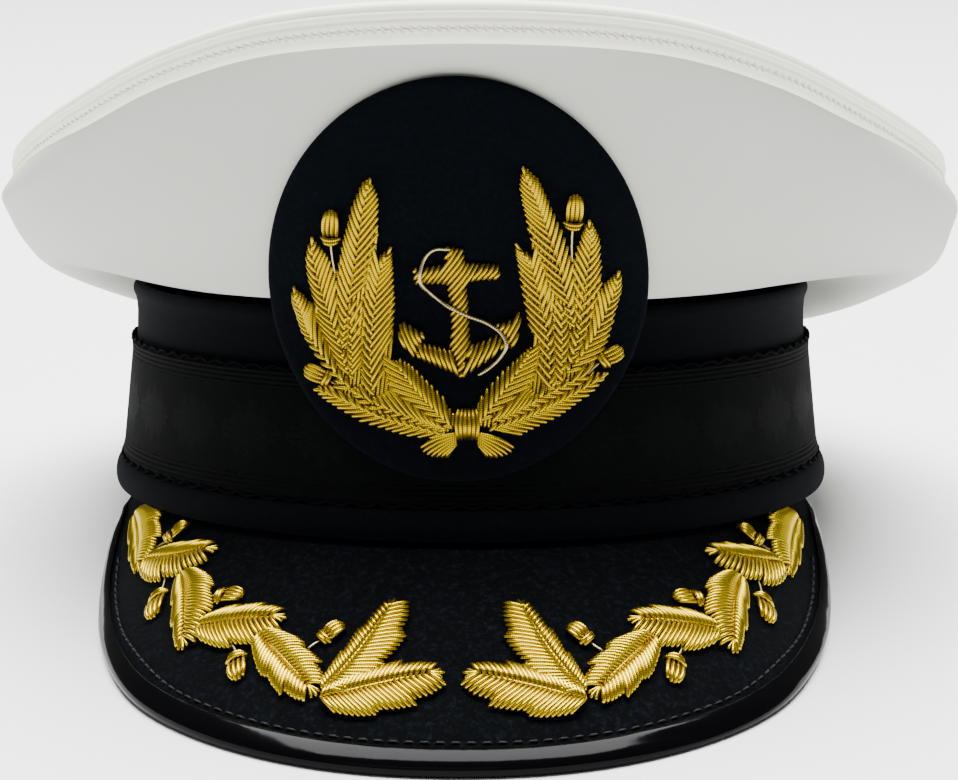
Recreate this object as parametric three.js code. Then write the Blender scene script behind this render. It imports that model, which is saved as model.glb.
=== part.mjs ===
// Peaked cap: white cloth crown on a hoop, dark band with a woven lace, cloth covered
// peak edged with patent leather, and a felt badge patch with bullion embroidery.
// Millimetres. The worn frame has X to the wearer's left, Y to the back and Z up, with
// its origin at the middle of the band's lower edge. The cap is then pitched back so
// that it rests on the peak's edge and on the back of the band.

import * as THREE from "three";
import { mergeVertices } from "three/addons/utils/BufferGeometryUtils.js";

// ---------------------------------------------------------------- driving sizes

const GAP = 0.35;                      // clearance between neighbouring pieces
const BAND = {
  height: 50.5,                        // of the cloth covered band
  lowHalfWidth: 87.4, lowHalfLength: 101,
  topHalfWidth: 82.4, topHalfLength: 96.7,
  wall: 2.2,
};
const LIP = { height: 4.8, proud: 2.4 };   // turned edge round the band's top
const LACE = { low: 7.9, high: 36.4, thick: 0.8 };
const ROLL = { low: 0, high: 7.5, proud: 2.2 };
const HOOP = { halfWidth: 115.6, front: 122, back: 124, shift: 2 };
const WELT = { height: 5.4, wide: 3.2 };
const CLOTH = 1.4;                     // wall of the crown's quarters and top
const SEAM_ANGLE = 78;                 // side seams, degrees from the front
const PEAK = { thick: 2.6, spread: 72, crown: 2.4, taper: 14 };
const EDGING = { reach: 6, thick: 0.8, lip: 1.6, under: 1.3, end: 0.99 };
const REST = { front: 154.2, drop: 39.2, back: 102.4, rise: 0.8 };
const PATCH = { low: 13.8, high: 101.7, halfWidth: 41, shift: -0.4, thick: 2.4, bridge: 3.2 };
const THREAD = { clear: 0.45, leaf: 1.9, anchor: 1.8, rope: 1, over: 1.75, tie: 2.6 };

// Height of the hoop by angle from the front.
const HOOP_ROWS = [
  { angle: 0, height: 116.6 }, { angle: 20, height: 114.2 }, { angle: 35, height: 107 },
  { angle: 50, height: 96.5 }, { angle: 65, height: 87.5 }, { angle: 80, height: 80.5 },
  { angle: 95, height: 74 }, { angle: 112, height: 66.5 }, { angle: 132, height: 59 },
  { angle: 155, height: 54 }, { angle: 180, height: 52.5 },
];

// Sections of the crown's quarters by angle from the front. Each gives four places
// between the band and the hoop: how far out of the way (0 band, 1 hoop) and how high.
const QUARTER_ROWS = [
  { angle: 0, out1: 0.14, up1: 58, out2: 0.44, up2: 75, out3: 0.7, up3: 92, out4: 0.9, up4: 105 },
  { angle: 40, out1: 0.2, up1: 56.5, out2: 0.56, up2: 68, out3: 0.84, up3: 82, out4: 0.98, up4: 93 },
  { angle: 65, out1: 0.32, up1: 53.8, out2: 0.72, up2: 59, out3: 0.98, up3: 68, out4: 1.06, up4: 78 },
  { angle: 90, out1: 0.32, up1: 52.2, out2: 0.7, up2: 52.4, out3: 0.97, up3: 57, out4: 1.1, up4: 68.5 },
  { angle: 115, out1: 0.25, up1: 48.5, out2: 0.58, up2: 40, out3: 0.92, up3: 40, out4: 1.09, up4: 51 },
  { angle: 135, out1: 0.22, up1: 46.5, out2: 0.52, up2: 34, out3: 0.86, up3: 31, out4: 1.05, up4: 40 },
  { angle: 180, out1: 0.22, up1: 46, out2: 0.52, up2: 33.5, out3: 0.86, up3: 29, out4: 1.04, up4: 36 },
];

// Outer edge of the peak, half of it: angle of the band it faces, distance across and
// forward, and its rise above the surface that the cap rests on.
const PEAK_ROWS = [
  { angle: 0, across: 0, forward: 155.6, rise: 0 },
  { angle: 9, across: 22, forward: 153.2, rise: 0 },
  { angle: 18, across: 42.6, forward: 145, rise: 0 },
  { angle: 27, across: 60.5, forward: 131, rise: 0 },
  { angle: 36, across: 72.6, forward: 114, rise: 0 },
  { angle: 46, across: 81, forward: 90, rise: 0 },
  { angle: 56, across: 85.2, forward: 66, rise: 1.6 },
  { angle: 65, across: 85.6, forward: 47.5, rise: 8.5 },
  { angle: 72, across: 83.8, forward: 34.5, rise: 15.5 },
];

// ---------------------------------------------------------------- helpers

const rad = THREE.MathUtils.degToRad;
const vec = (x, y, z) => new THREE.Vector3(x, y, z);

// Smooth curve through the rows of a table, one column against the angle. Past its first
// and last rows the curve goes level or straight on.
function column(rows, name, first = "level", last = "level") {
  const end = rows.length - 1;
  const past = (kind, edge, near) => (kind === "level" ? near : 2 * edge - near);
  const xs = rows.map((row) => row.angle);
  const ys = rows.map((row) => row[name]);
  xs.unshift(past("straight", xs[0], xs[1]));
  ys.unshift(past(first, ys[0], ys[1]));
  xs.push(past("straight", xs[end + 1], xs[end]));
  ys.push(past(last, ys[end + 1], ys[end]));
  return (x) => {
    let k = 1;
    while (k < end && x > xs[k + 1]) k += 1;
    const span = xs[k + 1] - xs[k];
    const t = (x - xs[k]) / span;
    const near = ((ys[k + 1] - ys[k - 1]) / (xs[k + 1] - xs[k - 1])) * span;
    const far = ((ys[k + 2] - ys[k]) / (xs[k + 2] - xs[k])) * span;
    const t2 = t * t;
    const t3 = t2 * t;
    return (2 * t3 - 3 * t2 + 1) * ys[k] + (t3 - 2 * t2 + t) * near
      + (3 * t2 - 2 * t3) * ys[k + 1] + (t3 - t2) * far;
  };
}

// Angle from the front in 0..180 degrees, for either side.
function fromFront(angle) {
  const turn = ((angle % 360) + 360) % 360;
  return Math.min(turn, 360 - turn);
}

// A closed mesh from points and quads or triangles, its faces turned outwards.
function solid(points, faces) {
  const flat = new Float32Array(points.length * 3);
  points.forEach((p, i) => flat.set([p.x, p.y, p.z], 3 * i));
  const index = [];
  for (const face of faces) {
    for (let i = 1; i + 1 < face.length; i += 1) index.push(face[0], face[i], face[i + 1]);
  }
  let geometry = new THREE.BufferGeometry();
  geometry.setAttribute("position", new THREE.BufferAttribute(flat, 3));
  geometry.setIndex(index);
  geometry = mergeVertices(geometry, 1e-4);
  const kept = [];
  const old = geometry.index.array;
  for (let i = 0; i < old.length; i += 3) {
    const [a, b, c] = [old[i], old[i + 1], old[i + 2]];
    if (a !== b && b !== c && c !== a) kept.push(a, b, c);
  }
  const place = geometry.attributes.position;
  let volume = 0;
  const [a, b, c] = [vec(), vec(), vec()];
  for (let i = 0; i < kept.length; i += 3) {
    a.fromBufferAttribute(place, kept[i]);
    b.fromBufferAttribute(place, kept[i + 1]);
    c.fromBufferAttribute(place, kept[i + 2]);
    volume += a.dot(b.cross(c));
  }
  if (volume < 0) {
    for (let i = 0; i < kept.length; i += 3) [kept[i], kept[i + 1]] = [kept[i + 1], kept[i]];
  }
  geometry.setIndex(kept);
  geometry.computeVertexNormals();
  return geometry;
}

// Ring whose section, a list of points, is worked out for each angle round the cap.
function ring(section, steps) {
  const points = [];
  for (let i = 0; i < steps; i += 1) points.push(...section((360 * i) / steps));
  const size = points.length / steps;
  const faces = [];
  for (let i = 0; i < steps; i += 1) {
    for (let j = 0; j < size; j += 1) {
      const next = (i + 1) % steps;
      const over = (j + 1) % size;
      faces.push([i * size + j, next * size + j, next * size + over, i * size + over]);
    }
  }
  return solid(points, faces);
}

// Bar with one flat section, a list of pairs, swept through places, with closed ends.
function bar(section, place, stations) {
  const points = [];
  for (const station of stations) {
    for (const [a, b] of section) points.push(place(station, a, b));
  }
  const size = section.length;
  const faces = [];
  for (let i = 0; i + 1 < stations.length; i += 1) {
    for (let j = 0; j < size; j += 1) {
      const over = (j + 1) % size;
      faces.push([i * size + j, (i + 1) * size + j, (i + 1) * size + over, i * size + over]);
    }
  }
  const contour = section.map(([a, b]) => new THREE.Vector2(a, b));
  const end = points.length - size;
  const turn = Math.sign(THREE.ShapeUtils.area(contour));
  for (const face of THREE.ShapeUtils.triangulateShape(contour, [])) {
    const same = Math.sign(THREE.ShapeUtils.area(face.map((k) => contour[k]))) === turn;
    const near = same ? face : [...face].reverse();
    faces.push(near, [...near].reverse().map((value) => end + value));
  }
  return solid(points, faces);
}

// Sheet of cloth between an outer and an inner surface over a grid.
function sheet(outer, inner, us, vs) {
  const points = [];
  for (const side of [outer, inner]) {
    for (const u of us) for (const v of vs) points.push(side(u, v));
  }
  const wide = vs.length;
  const half = us.length * wide;
  const at = (i, j) => i * wide + j;
  const faces = [];
  for (let i = 0; i + 1 < us.length; i += 1) {
    for (let j = 0; j + 1 < wide; j += 1) {
      const face = [at(i, j), at(i + 1, j), at(i + 1, j + 1), at(i, j + 1)];
      faces.push(face, face.map((value) => half + value).reverse());
    }
  }
  const border = [];
  for (let i = 0; i + 1 < us.length; i += 1) border.push([at(i + 1, 0), at(i, 0)]);
  for (let j = 0; j + 1 < wide; j += 1) border.push([at(0, j), at(0, j + 1)]);
  for (let i = 0; i + 1 < us.length; i += 1) {
    border.push([at(i, wide - 1), at(i + 1, wide - 1)]);
  }
  for (let j = 0; j + 1 < wide; j += 1) {
    border.push([at(us.length - 1, j + 1), at(us.length - 1, j)]);
  }
  for (const [a, b] of border) faces.push([a, b, half + b, half + a]);
  return solid(points, faces);
}

// Sheet with a round border: a centre and a ring at each reach, above and below.
function disc(outer, inner, steps, reaches) {
  const angles = range(0, 360, steps).slice(0, -1);
  const points = [];
  for (const side of [outer, inner]) {
    points.push(side(0, 0));
    for (const reach of reaches) for (const angle of angles) points.push(side(angle, reach));
  }
  const half = points.length / 2;
  const last = reaches.length - 1;
  const at = (k, i) => 1 + k * steps + (i % steps);
  const faces = [];
  for (let i = 0; i < steps; i += 1) {
    const around = [[0, at(0, i), at(0, i + 1)]];
    for (let k = 0; k < last; k += 1) {
      around.push([at(k, i), at(k + 1, i), at(k + 1, i + 1), at(k, i + 1)]);
    }
    for (const face of around) faces.push(face, face.map((value) => half + value).reverse());
    const [a, b] = [at(last, i), at(last, i + 1)];
    faces.push([b, a, half + a, half + b]);
  }
  return solid(points, faces);
}

function range(from, to, steps) {
  return Array.from({ length: steps + 1 }, (_, i) => from + ((to - from) * i) / steps);
}

// ---------------------------------------------------------------- where it rests

const pitch = Math.atan2(REST.drop + REST.rise, REST.front + REST.back);
const restNormal = vec(0, -Math.sin(pitch), Math.cos(pitch));
const restPoint = vec(0, REST.back, REST.rise);

function restHeight(point) {
  return point.clone().sub(restPoint).dot(restNormal);
}

// Flattens what would reach below the surface that the cap rests on.
function seated(point) {
  const under = restHeight(point);
  return under < 0 ? point.addScaledVector(restNormal, -under) : point;
}

// ---------------------------------------------------------------- band

// Point on the band at an angle from the front and a height, so much proud of it.
function bandPoint(angle, height, proud = 0) {
  const t = height / BAND.height;
  const a = THREE.MathUtils.lerp(BAND.lowHalfWidth, BAND.topHalfWidth, t) + proud;
  const b = THREE.MathUtils.lerp(BAND.lowHalfLength, BAND.topHalfLength, t) + proud;
  return vec(a * Math.sin(rad(angle)), -b * Math.cos(rad(angle)), height);
}

function bandRing(profile, steps) {
  return ring((angle) => profile.map(([height, proud]) => (
    seated(bandPoint(angle, height, proud)))), steps);
}

function makeBand() {
  const top = BAND.height;
  return bandRing([
    [0.2, 0], [top - LIP.height, 0], [top - LIP.height * 0.6, LIP.proud],
    [top - 0.7, LIP.proud], [top, LIP.proud - 1], [top, -BAND.wall], [0.2, -BAND.wall],
  ], 56);
}

function makeLace() {
  const outer = GAP + LACE.thick;
  return bandRing([
    [LACE.low, GAP], [LACE.low, outer], [LACE.high, outer], [LACE.high, GAP],
  ], 56);
}

function makeRoll() {
  const middle = (ROLL.low + ROLL.high) / 2;
  const bulge = ROLL.proud + GAP;
  return bandRing([
    [ROLL.low + 0.6, GAP], [ROLL.low, 1.2], [ROLL.low + 1.2, bulge - 0.4],
    [middle, bulge], [ROLL.high - 1.2, bulge - 0.6], [ROLL.high - 0.6, GAP],
  ], 56);
}

// ---------------------------------------------------------------- crown

const hoopHeight = column(HOOP_ROWS, "height");

// Upper outer line of the hoop's welt.
function hoopPoint(angle, out = 0, up = 0) {
  const long = Math.abs(fromFront(angle)) < 90 ? HOOP.front : HOOP.back;
  const sine = Math.sin(rad(angle));
  const cosine = Math.cos(rad(angle));
  return vec((HOOP.halfWidth + out) * sine + HOOP.shift, -(long + out) * cosine,
    hoopHeight(fromFront(angle)) + up);
}

const quarterColumns = {};
for (const name of Object.keys(QUARTER_ROWS[0])) {
  if (name !== "angle") quarterColumns[name] = column(QUARTER_ROWS, name);
}

// Curve of a quarter from the band's top to the hoop at one angle.
function quarterCurve(angle) {
  const start = bandPoint(angle, BAND.height, 0);
  const end = hoopPoint(angle, -0.2, -WELT.height - 2.6 * GAP);
  const points = [bandPoint(angle, BAND.height, -0.8), bandPoint(angle, BAND.height, LIP.proud)];
  points[0].z += CLOTH + GAP;
  points[1].z += CLOTH + GAP;
  const at = fromFront(angle);
  const lean = -1.8 * Math.sin(rad(angle));
  for (const k of [1, 2, 3, 4]) {
    const out = quarterColumns[`out${k}`](at);
    const point = start.clone().lerp(end, out);
    point.z = quarterColumns[`up${k}`](at) + lean * [0, 0.3, 0.8, 1, 0.7][k];
    points.push(point);
  }
  points.push(end);
  return new THREE.CatmullRomCurve3(points, false, "centripetal");
}

const QUARTER_STOPS = [0, 0.06, 0.14, 0.26, 0.4, 0.54, 0.68, 0.8, 0.9, 1];

function quarterPoint(angle, stop, inside) {
  const here = quarterCurve(angle).getPointAt(stop);
  if (!inside) return here;
  const step = 0.02;
  const [low, high] = [Math.max(0, stop - step), Math.min(1, stop + step)];
  const curve = quarterCurve(angle);
  const along = curve.getPointAt(high).sub(curve.getPointAt(low));
  const round = quarterCurve(angle + 1).getPointAt(stop)
    .sub(quarterCurve(angle - 1).getPointAt(stop));
  const inward = along.cross(round).normalize();
  return here.addScaledVector(inward, CLOTH);
}

function makeQuarter(from, to, steps) {
  return sheet((angle, stop) => quarterPoint(angle, stop, false),
    (angle, stop) => quarterPoint(angle, stop, true), range(from, to, steps), QUARTER_STOPS);
}

function makeWelt() {
  const { height, wide } = WELT;
  return ring((angle) => [
    [-0.1, -height], [0.5, -height * 0.6], [0.3, -height * 0.25], [-0.2, 0.3],
    [-1.4, 0.9], [-wide, 0.2], [-wide, -1.6], [-1.6, -height],
  ].map(([out, up]) => hoopPoint(angle, out, up)), 56);
}

// Taut cloth inside the hoop: each wave of the hoop's height dies away inwards.
function tautHeight(waves, angle, reach) {
  let height = 0;
  waves.forEach((wave, n) => {
    height += wave * reach ** n * Math.cos(rad(n * angle));
  });
  return height - 1.5 * (1 - reach * reach);
}

function makeTop() {
  const waves = range(0, 4, 4).map((n) => {
    let sum = 0;
    for (let angle = 0; angle < 360; angle += 5) {
      sum += hoopHeight(fromFront(angle)) * Math.cos(rad(n * angle));
    }
    return ((n === 0 ? 1 : 2) * sum) / 72;
  });
  const edge = -WELT.wide - GAP;
  const surface = (drop) => (angle, reach) => {
    const rim = hoopPoint(angle, edge, 0);
    const centre = vec(HOOP.shift, 0, 0);
    const point = centre.lerp(rim, reach);
    const taut = tautHeight(waves, angle, reach);
    const slip = hoopHeight(fromFront(angle)) - tautHeight(waves, angle, 1);
    point.z = taut + slip * reach ** 4 - drop;
    return point;
  };
  return disc(surface(0), surface(CLOTH), 48, [0.25, 0.5, 0.75, 0.9, 1]);
}

// ---------------------------------------------------------------- peak

const peakColumns = {
  across: column(PEAK_ROWS, "across", "straight", "straight"),
  forward: column(PEAK_ROWS, "forward", "level", "straight"),
  rise: column(PEAK_ROWS, "rise", "level", "straight"),
};

// Outermost line of the edged peak: side is -1 at one temple and 1 at the other.
function peakEdge(side) {
  const angle = Math.abs(side) * PEAK.spread;
  const point = vec(Math.sign(side) * peakColumns.across(angle), -peakColumns.forward(angle), 0);
  const rise = Math.max(0, peakColumns.rise(angle)) + EDGING.under;
  point.z = (rise - (point.y - restPoint.y) * restNormal.y) / restNormal.z + restPoint.z;
  return point;
}

function peakRoot(side) {
  return bandPoint(side * PEAK.spread, ROLL.low - GAP, -1.6);
}

// Top of the peak: reach is 0 at the band and 1 at the outermost line.
function peakTop(side, reach) {
  const root = peakRoot(side);
  const edge = peakEdge(side);
  const point = root.clone().lerp(edge, reach);
  const bulge = PEAK.crown * (root.distanceTo(edge) / 60) * Math.sin(Math.PI * Math.min(1, reach));
  const outward = vec(point.x, point.y, 0).normalize();
  const along = edge.clone().sub(root).normalize();
  const normal = vec(0, 0, 1).addScaledVector(along, -along.z).lerp(outward, 0.15).normalize();
  return point.addScaledVector(normal, bulge);
}

function peakFrame(side, reach) {
  const step = 0.01;
  const along = peakTop(side, reach).sub(peakTop(side, reach - step)).normalize();
  const next = Math.min(1, side + step);
  const back = Math.max(-1, side - step);
  const across = peakTop(next, reach).sub(peakTop(back, reach)).normalize();
  const normal = along.clone().cross(across).normalize();
  return { along, across, normal };
}

function peakPoint(side, reach, depth) {
  const { normal } = peakFrame(side, Math.max(reach, 0.02));
  return peakTop(side, reach).addScaledVector(normal, depth);
}

// Stations from temple to temple, closer together where the edge turns up to the band.
const PEAK_STOPS = range(-1, 1, 28).map((side) => Math.sin((side * Math.PI) / 2 * 0.93)
  / Math.sin((Math.PI / 2) * 0.93));

function peakWidth(side) {
  return peakRoot(side).distanceTo(peakEdge(side));
}

// Towards the temples, where the peak is narrow, it and its edging get thinner.
function narrowing(side) {
  return Math.min(1, peakWidth(side) / PEAK.taper);
}

function makePeak() {
  const inset = EDGING.thick + EDGING.lip;
  const reaches = [0, 0.2, 0.4, 0.6, 0.8, 1];
  const place = (depth) => (side, reach) => {
    const slim = narrowing(side);
    return peakPoint(side, reach * (1 - (inset * slim) / peakWidth(side)), depth * slim);
  };
  return sheet(place(0), place(-PEAK.thick), PEAK_STOPS, reaches);
}

// Place on the edging: in from the outermost line, and up from the cloth.
function edgingPoint(side, inset, up) {
  const slim = narrowing(side);
  return seated(peakPoint(side, 1 - (inset * slim) / peakWidth(side), up * slim));
}

function makeEdging() {
  const { reach, thick, lip } = EDGING;
  const inner = lip + thick - GAP;
  const low = -PEAK.thick - GAP;
  return bar([
    [reach, GAP], [reach, 0.9], [reach - 2.4, 1.15], [1.7, 1], [0.5, 0.25], [0, -1.1],
    [0.35, -2.4], [1.5, low - 0.6], [reach, low - thick], [reach, low], [inner, low],
    [inner, GAP],
  ], edgingPoint, PEAK_STOPS.filter((side) => Math.abs(side) < EDGING.end));
}

// ---------------------------------------------------------------- badge patch

// How far out of the way from the band to the hoop the crown stands at a height.
function quarterOut(angle, height) {
  const at = fromFront(angle);
  const rows = [{ up: BAND.height, out: 0 }];
  for (const k of [1, 2, 3, 4]) {
    rows.push({ up: quarterColumns[`up${k}`](at), out: quarterColumns[`out${k}`](at) });
  }
  rows.push({ up: hoopHeight(at) - WELT.height, out: 1 });
  let k = 0;
  while (k < rows.length - 2 && height > rows[k + 1].up) k += 1;
  const t = (height - rows[k].up) / (rows[k + 1].up - rows[k].up);
  return THREE.MathUtils.lerp(rows[k].out, rows[k + 1].out, t);
}

// The felt lies on the lace below and on the crown above and bridges the hollow between.
function patchOut(angle, height) {
  const depth = HOOP.front - BAND.topHalfLength;
  const spread = (BAND.lowHalfLength - BAND.topHalfLength) / depth;
  const lace = spread * (1 - height / BAND.height) + (LACE.thick + GAP) / depth;
  const crown = quarterOut(angle, height);
  const soft = PATCH.bridge / depth;
  return soft * Math.log(Math.exp(lace / soft) + Math.exp(crown / soft));
}

function patchBase(across, height) {
  let angle = 0;
  let out = 0;
  for (let i = 0; i < 6; i += 1) {
    out = patchOut(angle, height);
    const half = THREE.MathUtils.lerp(BAND.topHalfWidth, HOOP.halfWidth, out);
    angle = THREE.MathUtils.radToDeg(Math.asin((across - HOOP.shift * out) / half));
  }
  const long = THREE.MathUtils.lerp(BAND.topHalfLength, HOOP.front, out);
  return vec(across, -long * Math.cos(rad(angle)), height);
}

// Place over the patch's middle plane: across, height, and how far it stands off.
function patchPoint(across, height, off) {
  const step = 1.5;
  const right = patchBase(across + step, height).sub(patchBase(across - step, height));
  const up = patchBase(across, height + step).sub(patchBase(across, height - step));
  const normal = right.cross(up).normalize();
  return patchBase(across, height).addScaledVector(normal, off);
}

const patchMiddle = (PATCH.low + PATCH.high) / 2;
const patchTall = (PATCH.high - PATCH.low) / 2;

// Height of the felt's face above the surface below it: it thins towards its rim.
function feltFace(reach) {
  return GAP + PATCH.thick * (1 - 0.3 * reach ** 8);
}

function makePatch() {
  const place = (off) => (angle, reach) => patchPoint(
    PATCH.shift + PATCH.halfWidth * reach * Math.sin(rad(angle)),
    patchMiddle + patchTall * reach * Math.cos(rad(angle)), off(reach));
  return disc(place(feltFace), place(() => GAP), 30, [0.2, 0.4, 0.6, 0.78, 0.92, 1]);
}

// ---------------------------------------------------------------- embroidery

// Place on the felt patch, and so far up from its face.
function badgeSpot(across, height, up) {
  const reach = Math.hypot((across - PATCH.shift) / PATCH.halfWidth,
    (height - patchMiddle) / patchTall);
  return patchPoint(across, height, feltFace(Math.min(1, reach)) + up);
}

// Place on the peak by the angle from the front, how far out from the band, and up.
function peakSpot(angle, out, up) {
  const side = angle / PEAK.spread;
  return peakPoint(side, out / peakWidth(side), up);
}

// Padded form laid along a line on a surface. Every station gives how far along the line
// it is, its width to the left and the right, its height, and what it lifts off by.
function raised(spot, line, stations, section) {
  const curve = new THREE.SplineCurve(line.map(([u, v]) => new THREE.Vector2(u, v)));
  const on = (at, up) => {
    const { x, y } = curve.getPoint(THREE.MathUtils.clamp(at, 0, 1));
    return spot(x, y, up);
  };
  return bar(section, ({ at, left, right, high, lift = 0 }, a, b) => {
    const along = on(at + 0.04, 0).sub(on(at - 0.04, 0));
    const normal = on(at, 1).sub(on(at, 0));
    const aside = normal.clone().cross(along).normalize();
    const up = THREAD.clear + lift + b * (high - THREAD.clear);
    return on(at, 0).addScaledVector(aside, -a * (a < 0 ? left : right))
      .addScaledVector(normal, up);
  }, stations);
}

const PAD = [[-1, 0], [-0.55, 1], [0.55, 1], [1, 0]];
const CUSHION = [[-1, 0], [-0.75, 0.75], [0, 1], [0.75, 0.75], [1, 0]];
const CORD = [[-0.5, 0], [-1, 0.5], [-0.5, 1], [0.5, 1], [1, 0.5], [0.5, 0]];

// Outlines of the leaves from stalk to tip, as parts of the full width and height.
const LAUREL_OUTLINE = [
  { at: 0, width: 0.75, high: 0.7 }, { at: 0.2, width: 0.95, high: 1 },
  { at: 0.4, width: 1, high: 1 }, { at: 0.6, width: 0.85, high: 1 },
  { at: 0.75, width: 0.7, high: 0.95 }, { at: 0.9, width: 0.42, high: 0.8 },
  { at: 1, width: 0.08, high: 0.5 },
];
const OAK_OUTLINE = [
  { at: 0, width: 0.25, high: 0.6 }, { at: 0.08, width: 0.7, high: 0.85 },
  { at: 0.25, width: 1, high: 1 }, { at: 0.38, width: 0.95, high: 1 },
  { at: 0.48, width: 0.7, high: 1 }, { at: 0.6, width: 0.92, high: 1 },
  { at: 0.72, width: 1, high: 1 }, { at: 0.81, width: 0.55, high: 0.95 },
  { at: 0.93, width: 0.42, high: 0.85 }, { at: 1, width: 0.12, high: 0.5 },
];

// Leaves of the wreath: stalk, middle and tip across and up the patch, and half widths.
const WREATH_ROWS = [
  { name: "left_1", x0: -22.9, z0: 54.4, x1: -20.2, z1: 68, x2: -17.8, z2: 81.3, left: 3.3, right: 4 },
  { name: "left_2", x0: -26.2, z0: 47.4, x1: -28.1, z1: 56.6, x2: -30.9, z2: 68.2, left: 3.1, right: 2.4 },
  { name: "left_3", x0: -17.4, z0: 34.2, x1: -16.9, z1: 48, x2: -14.2, z2: 65.6, left: 3, right: 3.3 },
  { name: "left_4", x0: -25.9, z0: 37, x1: -30.1, z1: 45, x2: -34.8, z2: 56, left: 2.4, right: 2.1 },
  { name: "left_5", x0: -22.4, z0: 35.6, x1: -22.7, z1: 43, x2: -22.8, z2: 52.4, left: 1.9, right: 2 },
  { name: "left_6", x0: -2.6, z0: 26.9, x1: -7.6, z1: 32.1, x2: -13.6, z2: 40.2, left: 1.6, right: 2.8 },
  { name: "left_7", x0: -2, z0: 23.7, x1: -15.4, z1: 26.5, x2: -29.9, z2: 32.8, left: 2.2, right: 1.7 },
  { name: "left_8", x0: -8.4, z0: 27.6, x1: -15.6, z1: 30.8, x2: -23.6, z2: 34.4, left: 1.1, right: 1.6 },
  { name: "right_1", x0: 21.4, z0: 57.6, x1: 18.6, z1: 70.8, x2: 13.6, z2: 83.8, left: 3.4, right: 2.7 },
  { name: "right_2", x0: 26.4, z0: 50, x1: 27.2, z1: 61.2, x2: 27.4, z2: 72.6, left: 2.3, right: 2.9 },
  { name: "right_3", x0: 18.7, z0: 38, x1: 17.5, z1: 52.5, x2: 12.4, z2: 66.8, left: 3.5, right: 2.5 },
  { name: "right_4", x0: 26, z0: 40, x1: 30.2, z1: 51, x2: 33.6, z2: 60.8, left: 1.5, right: 2.3 },
  { name: "right_5", x0: 22.4, z0: 38.4, x1: 23, z1: 48, x2: 23.5, z2: 58, left: 1.5, right: 1.7 },
  { name: "right_6", x0: 5.9, z0: 27.3, x1: 10.4, z1: 35, x2: 14.9, z2: 41.6, left: 2.7, right: 1.4 },
  { name: "right_7", x0: 8, z0: 24.8, x1: 18.8, z1: 29, x2: 30.4, z2: 35.7, left: 1.5, right: 2.5 },
  { name: "right_8", x0: 9.6, z0: 28.4, x1: 15.6, z1: 32.4, x2: 22.2, z2: 36, left: 1.1, right: 1.3 },
];

// Leaves of the peak's left spray: stalk, middle and tip by the angle from the front and
// the distance out from the band, and half widths. The right spray is its mirror image.
const OAK_ROWS = [
  { a0: 62, out0: 4, a1: 54.2, out1: 10.3, a2: 48.6, out2: 18.8, left: 4.8, right: 3.6 },
  { a0: 47.6, out0: 14.2, a1: 41.4, out1: 12.6, a2: 36, out2: 9.9, left: 4.4, right: 5.8 },
  { a0: 37.6, out0: 18.6, a1: 33.4, out1: 26.5, a2: 29.8, out2: 38.9, left: 5, right: 3.8 },
  { a0: 29.2, out0: 32.5, a1: 24.7, out1: 30.2, a2: 19.3, out2: 28.3, left: 4.8, right: 6.6 },
  { a0: 20.8, out0: 34.1, a1: 16.8, out1: 41.3, a2: 13, out2: 49.2, left: 5.2, right: 6 },
  { a0: 11.8, out0: 44.2, a1: 9.4, out1: 35, a2: 7.1, out2: 21.1, left: 3.6, right: 5.4 },
  { a0: 11, out0: 50.8, a1: 6.9, out1: 47, a2: 1.2, out2: 41.9, left: 3.8, right: 7.2 },
];

// Acorns: where the stalk starts, where it meets the cup, and the tip.
const BADGE_ACORNS = [
  { name: "left_high", x0: -25.9, z0: 61.4, x1: -26.4, z1: 67.5, x2: -26.5, z2: 74.6 },
  { name: "left_low", x0: -26.9, z0: 34, x1: -28.8, z1: 34.9, x2: -33.2, z2: 37.5 },
  { name: "right_high", x0: 23.8, z0: 64.4, x1: 24.3, z1: 70.8, x2: 24.2, z2: 78 },
  { name: "right_low", x0: 27.8, z0: 37.6, x1: 29.5, z1: 39.2, x2: 33.8, z2: 42.3 },
];
const PEAK_ACORNS = [
  { a0: 48.6, out0: 10.4, a1: 47.3, out1: 8.1, a2: 45, out2: 2.6 },
  { a0: 41.4, out0: 18.9, a1: 40.1, out1: 23.2, a2: 38, out2: 30.6 },
  { a0: 31.2, out0: 23.4, a1: 29.8, out1: 23.2, a2: 26, out2: 22.2 },
  { a0: 24, out0: 36.4, a1: 22.9, out1: 39.3, a2: 21.4, out2: 46.6 },
  { a0: 15.2, out0: 36.4, a1: 14.2, out1: 33.9, a2: 12.2, out2: 28.8 },
];
const ACORN_OUTLINE = [
  { at: 0, width: 0.4, high: 1.1 }, { at: 0.46, width: 0.4, high: 1.1 },
  { at: 0.5, width: 2.3, high: 2 }, { at: 0.6, width: 2.5, high: 2.3 },
  { at: 0.66, width: 1.9, high: 2 }, { at: 0.86, width: 1.7, high: 1.9 },
  { at: 1, width: 0.6, high: 1 },
];

function leafStations(outline, left, right) {
  return outline.map(({ at, width, high }) => (
    { at, left: left * width, right: right * width, high: THREAD.leaf * high }));
}

function makeLaurel({ x0, z0, x1, z1, x2, z2, left, right }) {
  return raised(badgeSpot, [[x0, z0], [x1, z1], [x2, z2]],
    leafStations(LAUREL_OUTLINE, left, right), PAD);
}

// side is -1 for the left spray and 1 for the right one.
function makeOak({ a0, out0, a1, out1, a2, out2, left, right }, side) {
  const widths = side < 0 ? [left, right] : [right, left];
  return raised(peakSpot, [[side * a0, out0], [side * a1, out1], [side * a2, out2]],
    leafStations(OAK_OUTLINE, ...widths), PAD);
}

function makeAcorn(spot, line) {
  const stations = ACORN_OUTLINE.map(({ at, width, high }) => (
    { at, left: width, right: width, high }));
  return raised(spot, line, stations, CUSHION);
}

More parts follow.
